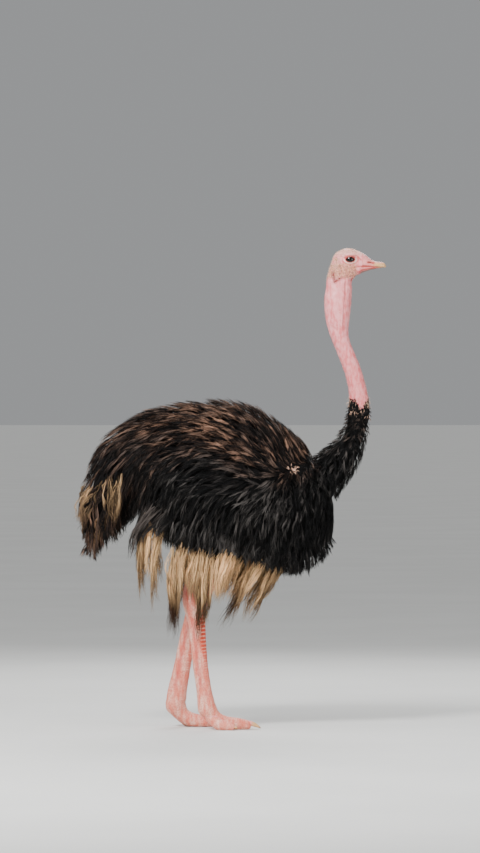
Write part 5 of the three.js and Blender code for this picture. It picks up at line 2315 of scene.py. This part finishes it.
def bristles() -> list[Bristles]:
    """Down on the head, fine bristles on the neck and the collar, and the pale tuft at the shoulder.

    Returns:
        The patches, to be built in order.
    """
    return [
        Bristles("head_down", NECK, 2500, (NECK_STATIONS - 3.0, NECK.last - 0.3), head_down,
                 (-1.0, 0.0, -0.3), (7, 14), (0.45, 0.9), nodes=("ear_right", "ear_left")),
        Bristles("neck_bristles", NECK, 900, (FEATHER_END, NECK_STATIONS - 1.0), bare_neck,
                 (0.25, 0.0, -1.0), (4, 9), (0.35, 0.6), seed=62),
        Bristles("collar_bristles", NECK, 110, (3.6, 6.2), collar_edge, (-0.1, 0.0, -1.0), (10, 28),
                 (0.7, 1.3), pale=(0.9, 1.0), depth=-1.5, lift=4.0, seed=63),
        Bristles("shoulder_tuft", BODY, 90, (11.0, 16.0), shoulder_spots, (-1.0, 0.0, 0.45), (7, 17),
                 (1.4, 2.6), pale=(0.85, 1.0), depth=-3.0, lift=2.5, scatter=0.4, seed=64),
    ]


@dataclass
class Lashes:
    """Long dark lashes along the upper lids."""

    eye: EyeShape = field(default_factory=EyeShape)
    count: int = 46
    width: float = 0.55
    seed: int = 62

    def build(self, drawing: Drawing, material: Material) -> None:
        """Curved strands that leave the lid's edge outwards and sweep up and back.

        A lash is root + length * (outwards * k + sweep * k^2).

        Args:
            drawing: makes the mesh.
            material: the finish.
        """
        rng = np.random.default_rng(self.seed)
        paths, faces = [], []
        for side in Side:
            dx = np.linspace(-0.9, 0.95, self.count) * self.eye.half_length
            top, _ = self.eye.opening(dx)
            y = self.eye.ball(dx, top, self.eye.radius + 1.9)
            root = np.stack([self.eye.x + dx, y, self.eye.z + top + 0.8], -1)
            length = rng.uniform(9, 14, self.count)[:, None, None]
            k = np.linspace(0, 1, 5)[None, :, None]
            out = unit(np.stack([dx * 0.02 - 0.25, np.full(self.count, 0.95), np.full(self.count, 0.05)], -1))
            path = root[:, None] + length * (out[:, None] * k + np.array([-0.15, -0.1, 0.45]) * k**2)
            paths.append(path * np.array([1, side.value, 1]))
            faces.append(np.tile([0.0, 0.2 * side.value, 1.0], (self.count, 1)))
        path = np.concatenate(paths)
        n = len(path)
        none = np.zeros(n)
        numbers = {"tone": none, "pale": none, "ends": none, "shade": none + 0.2, "along": np.zeros((n, 5))}
        roots = np.stack([np.linspace(0.01, 0.98, n), np.tile([0.1, 0.8], n // 2)], -1)
        strands = Strands(path, np.concatenate(faces), np.full(n, self.width), roots, numbers)
        finish_piece(strands.build(drawing, "eyelashes"), material)


# ---- The whole bird ----


def main() -> None:
    """Loads the frame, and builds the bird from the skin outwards."""
    logging.basicConfig(level=logging.INFO, format="%(message)s")
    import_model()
    drawing = Drawing()
    Studio().build(drawing)
    effects = Effects()
    skin = BirdSkin()
    flesh = [f"{part}_{side.label}" for part in skin.limbs for side in Side]
    finish_piece(skin.build(drawing), Skin().material(effects, drawing), [*skin.flesh, *flesh])
    horn = Horn("horn").material(effects)
    Bill().build(drawing, horn)
    Nails().build(drawing, horn)
    Eyeball(skin.eye).build(drawing, EyeGloss().material())
    plumage = Plumage("plumage").material(effects)
    down = Plumage("down", pale=(0.78, 0.50, 0.36), brown_gloss=(0.3, 0.14, 0.08)).material(effects)
    for patch in bristles():
        patch.build(drawing, down)
    Lashes(skin.eye).build(drawing, plumage)
    for stretch in (*coats(), *curtains()):
        stretch.build(drawing, plumage)


if __name__ == "__main__":
    main()
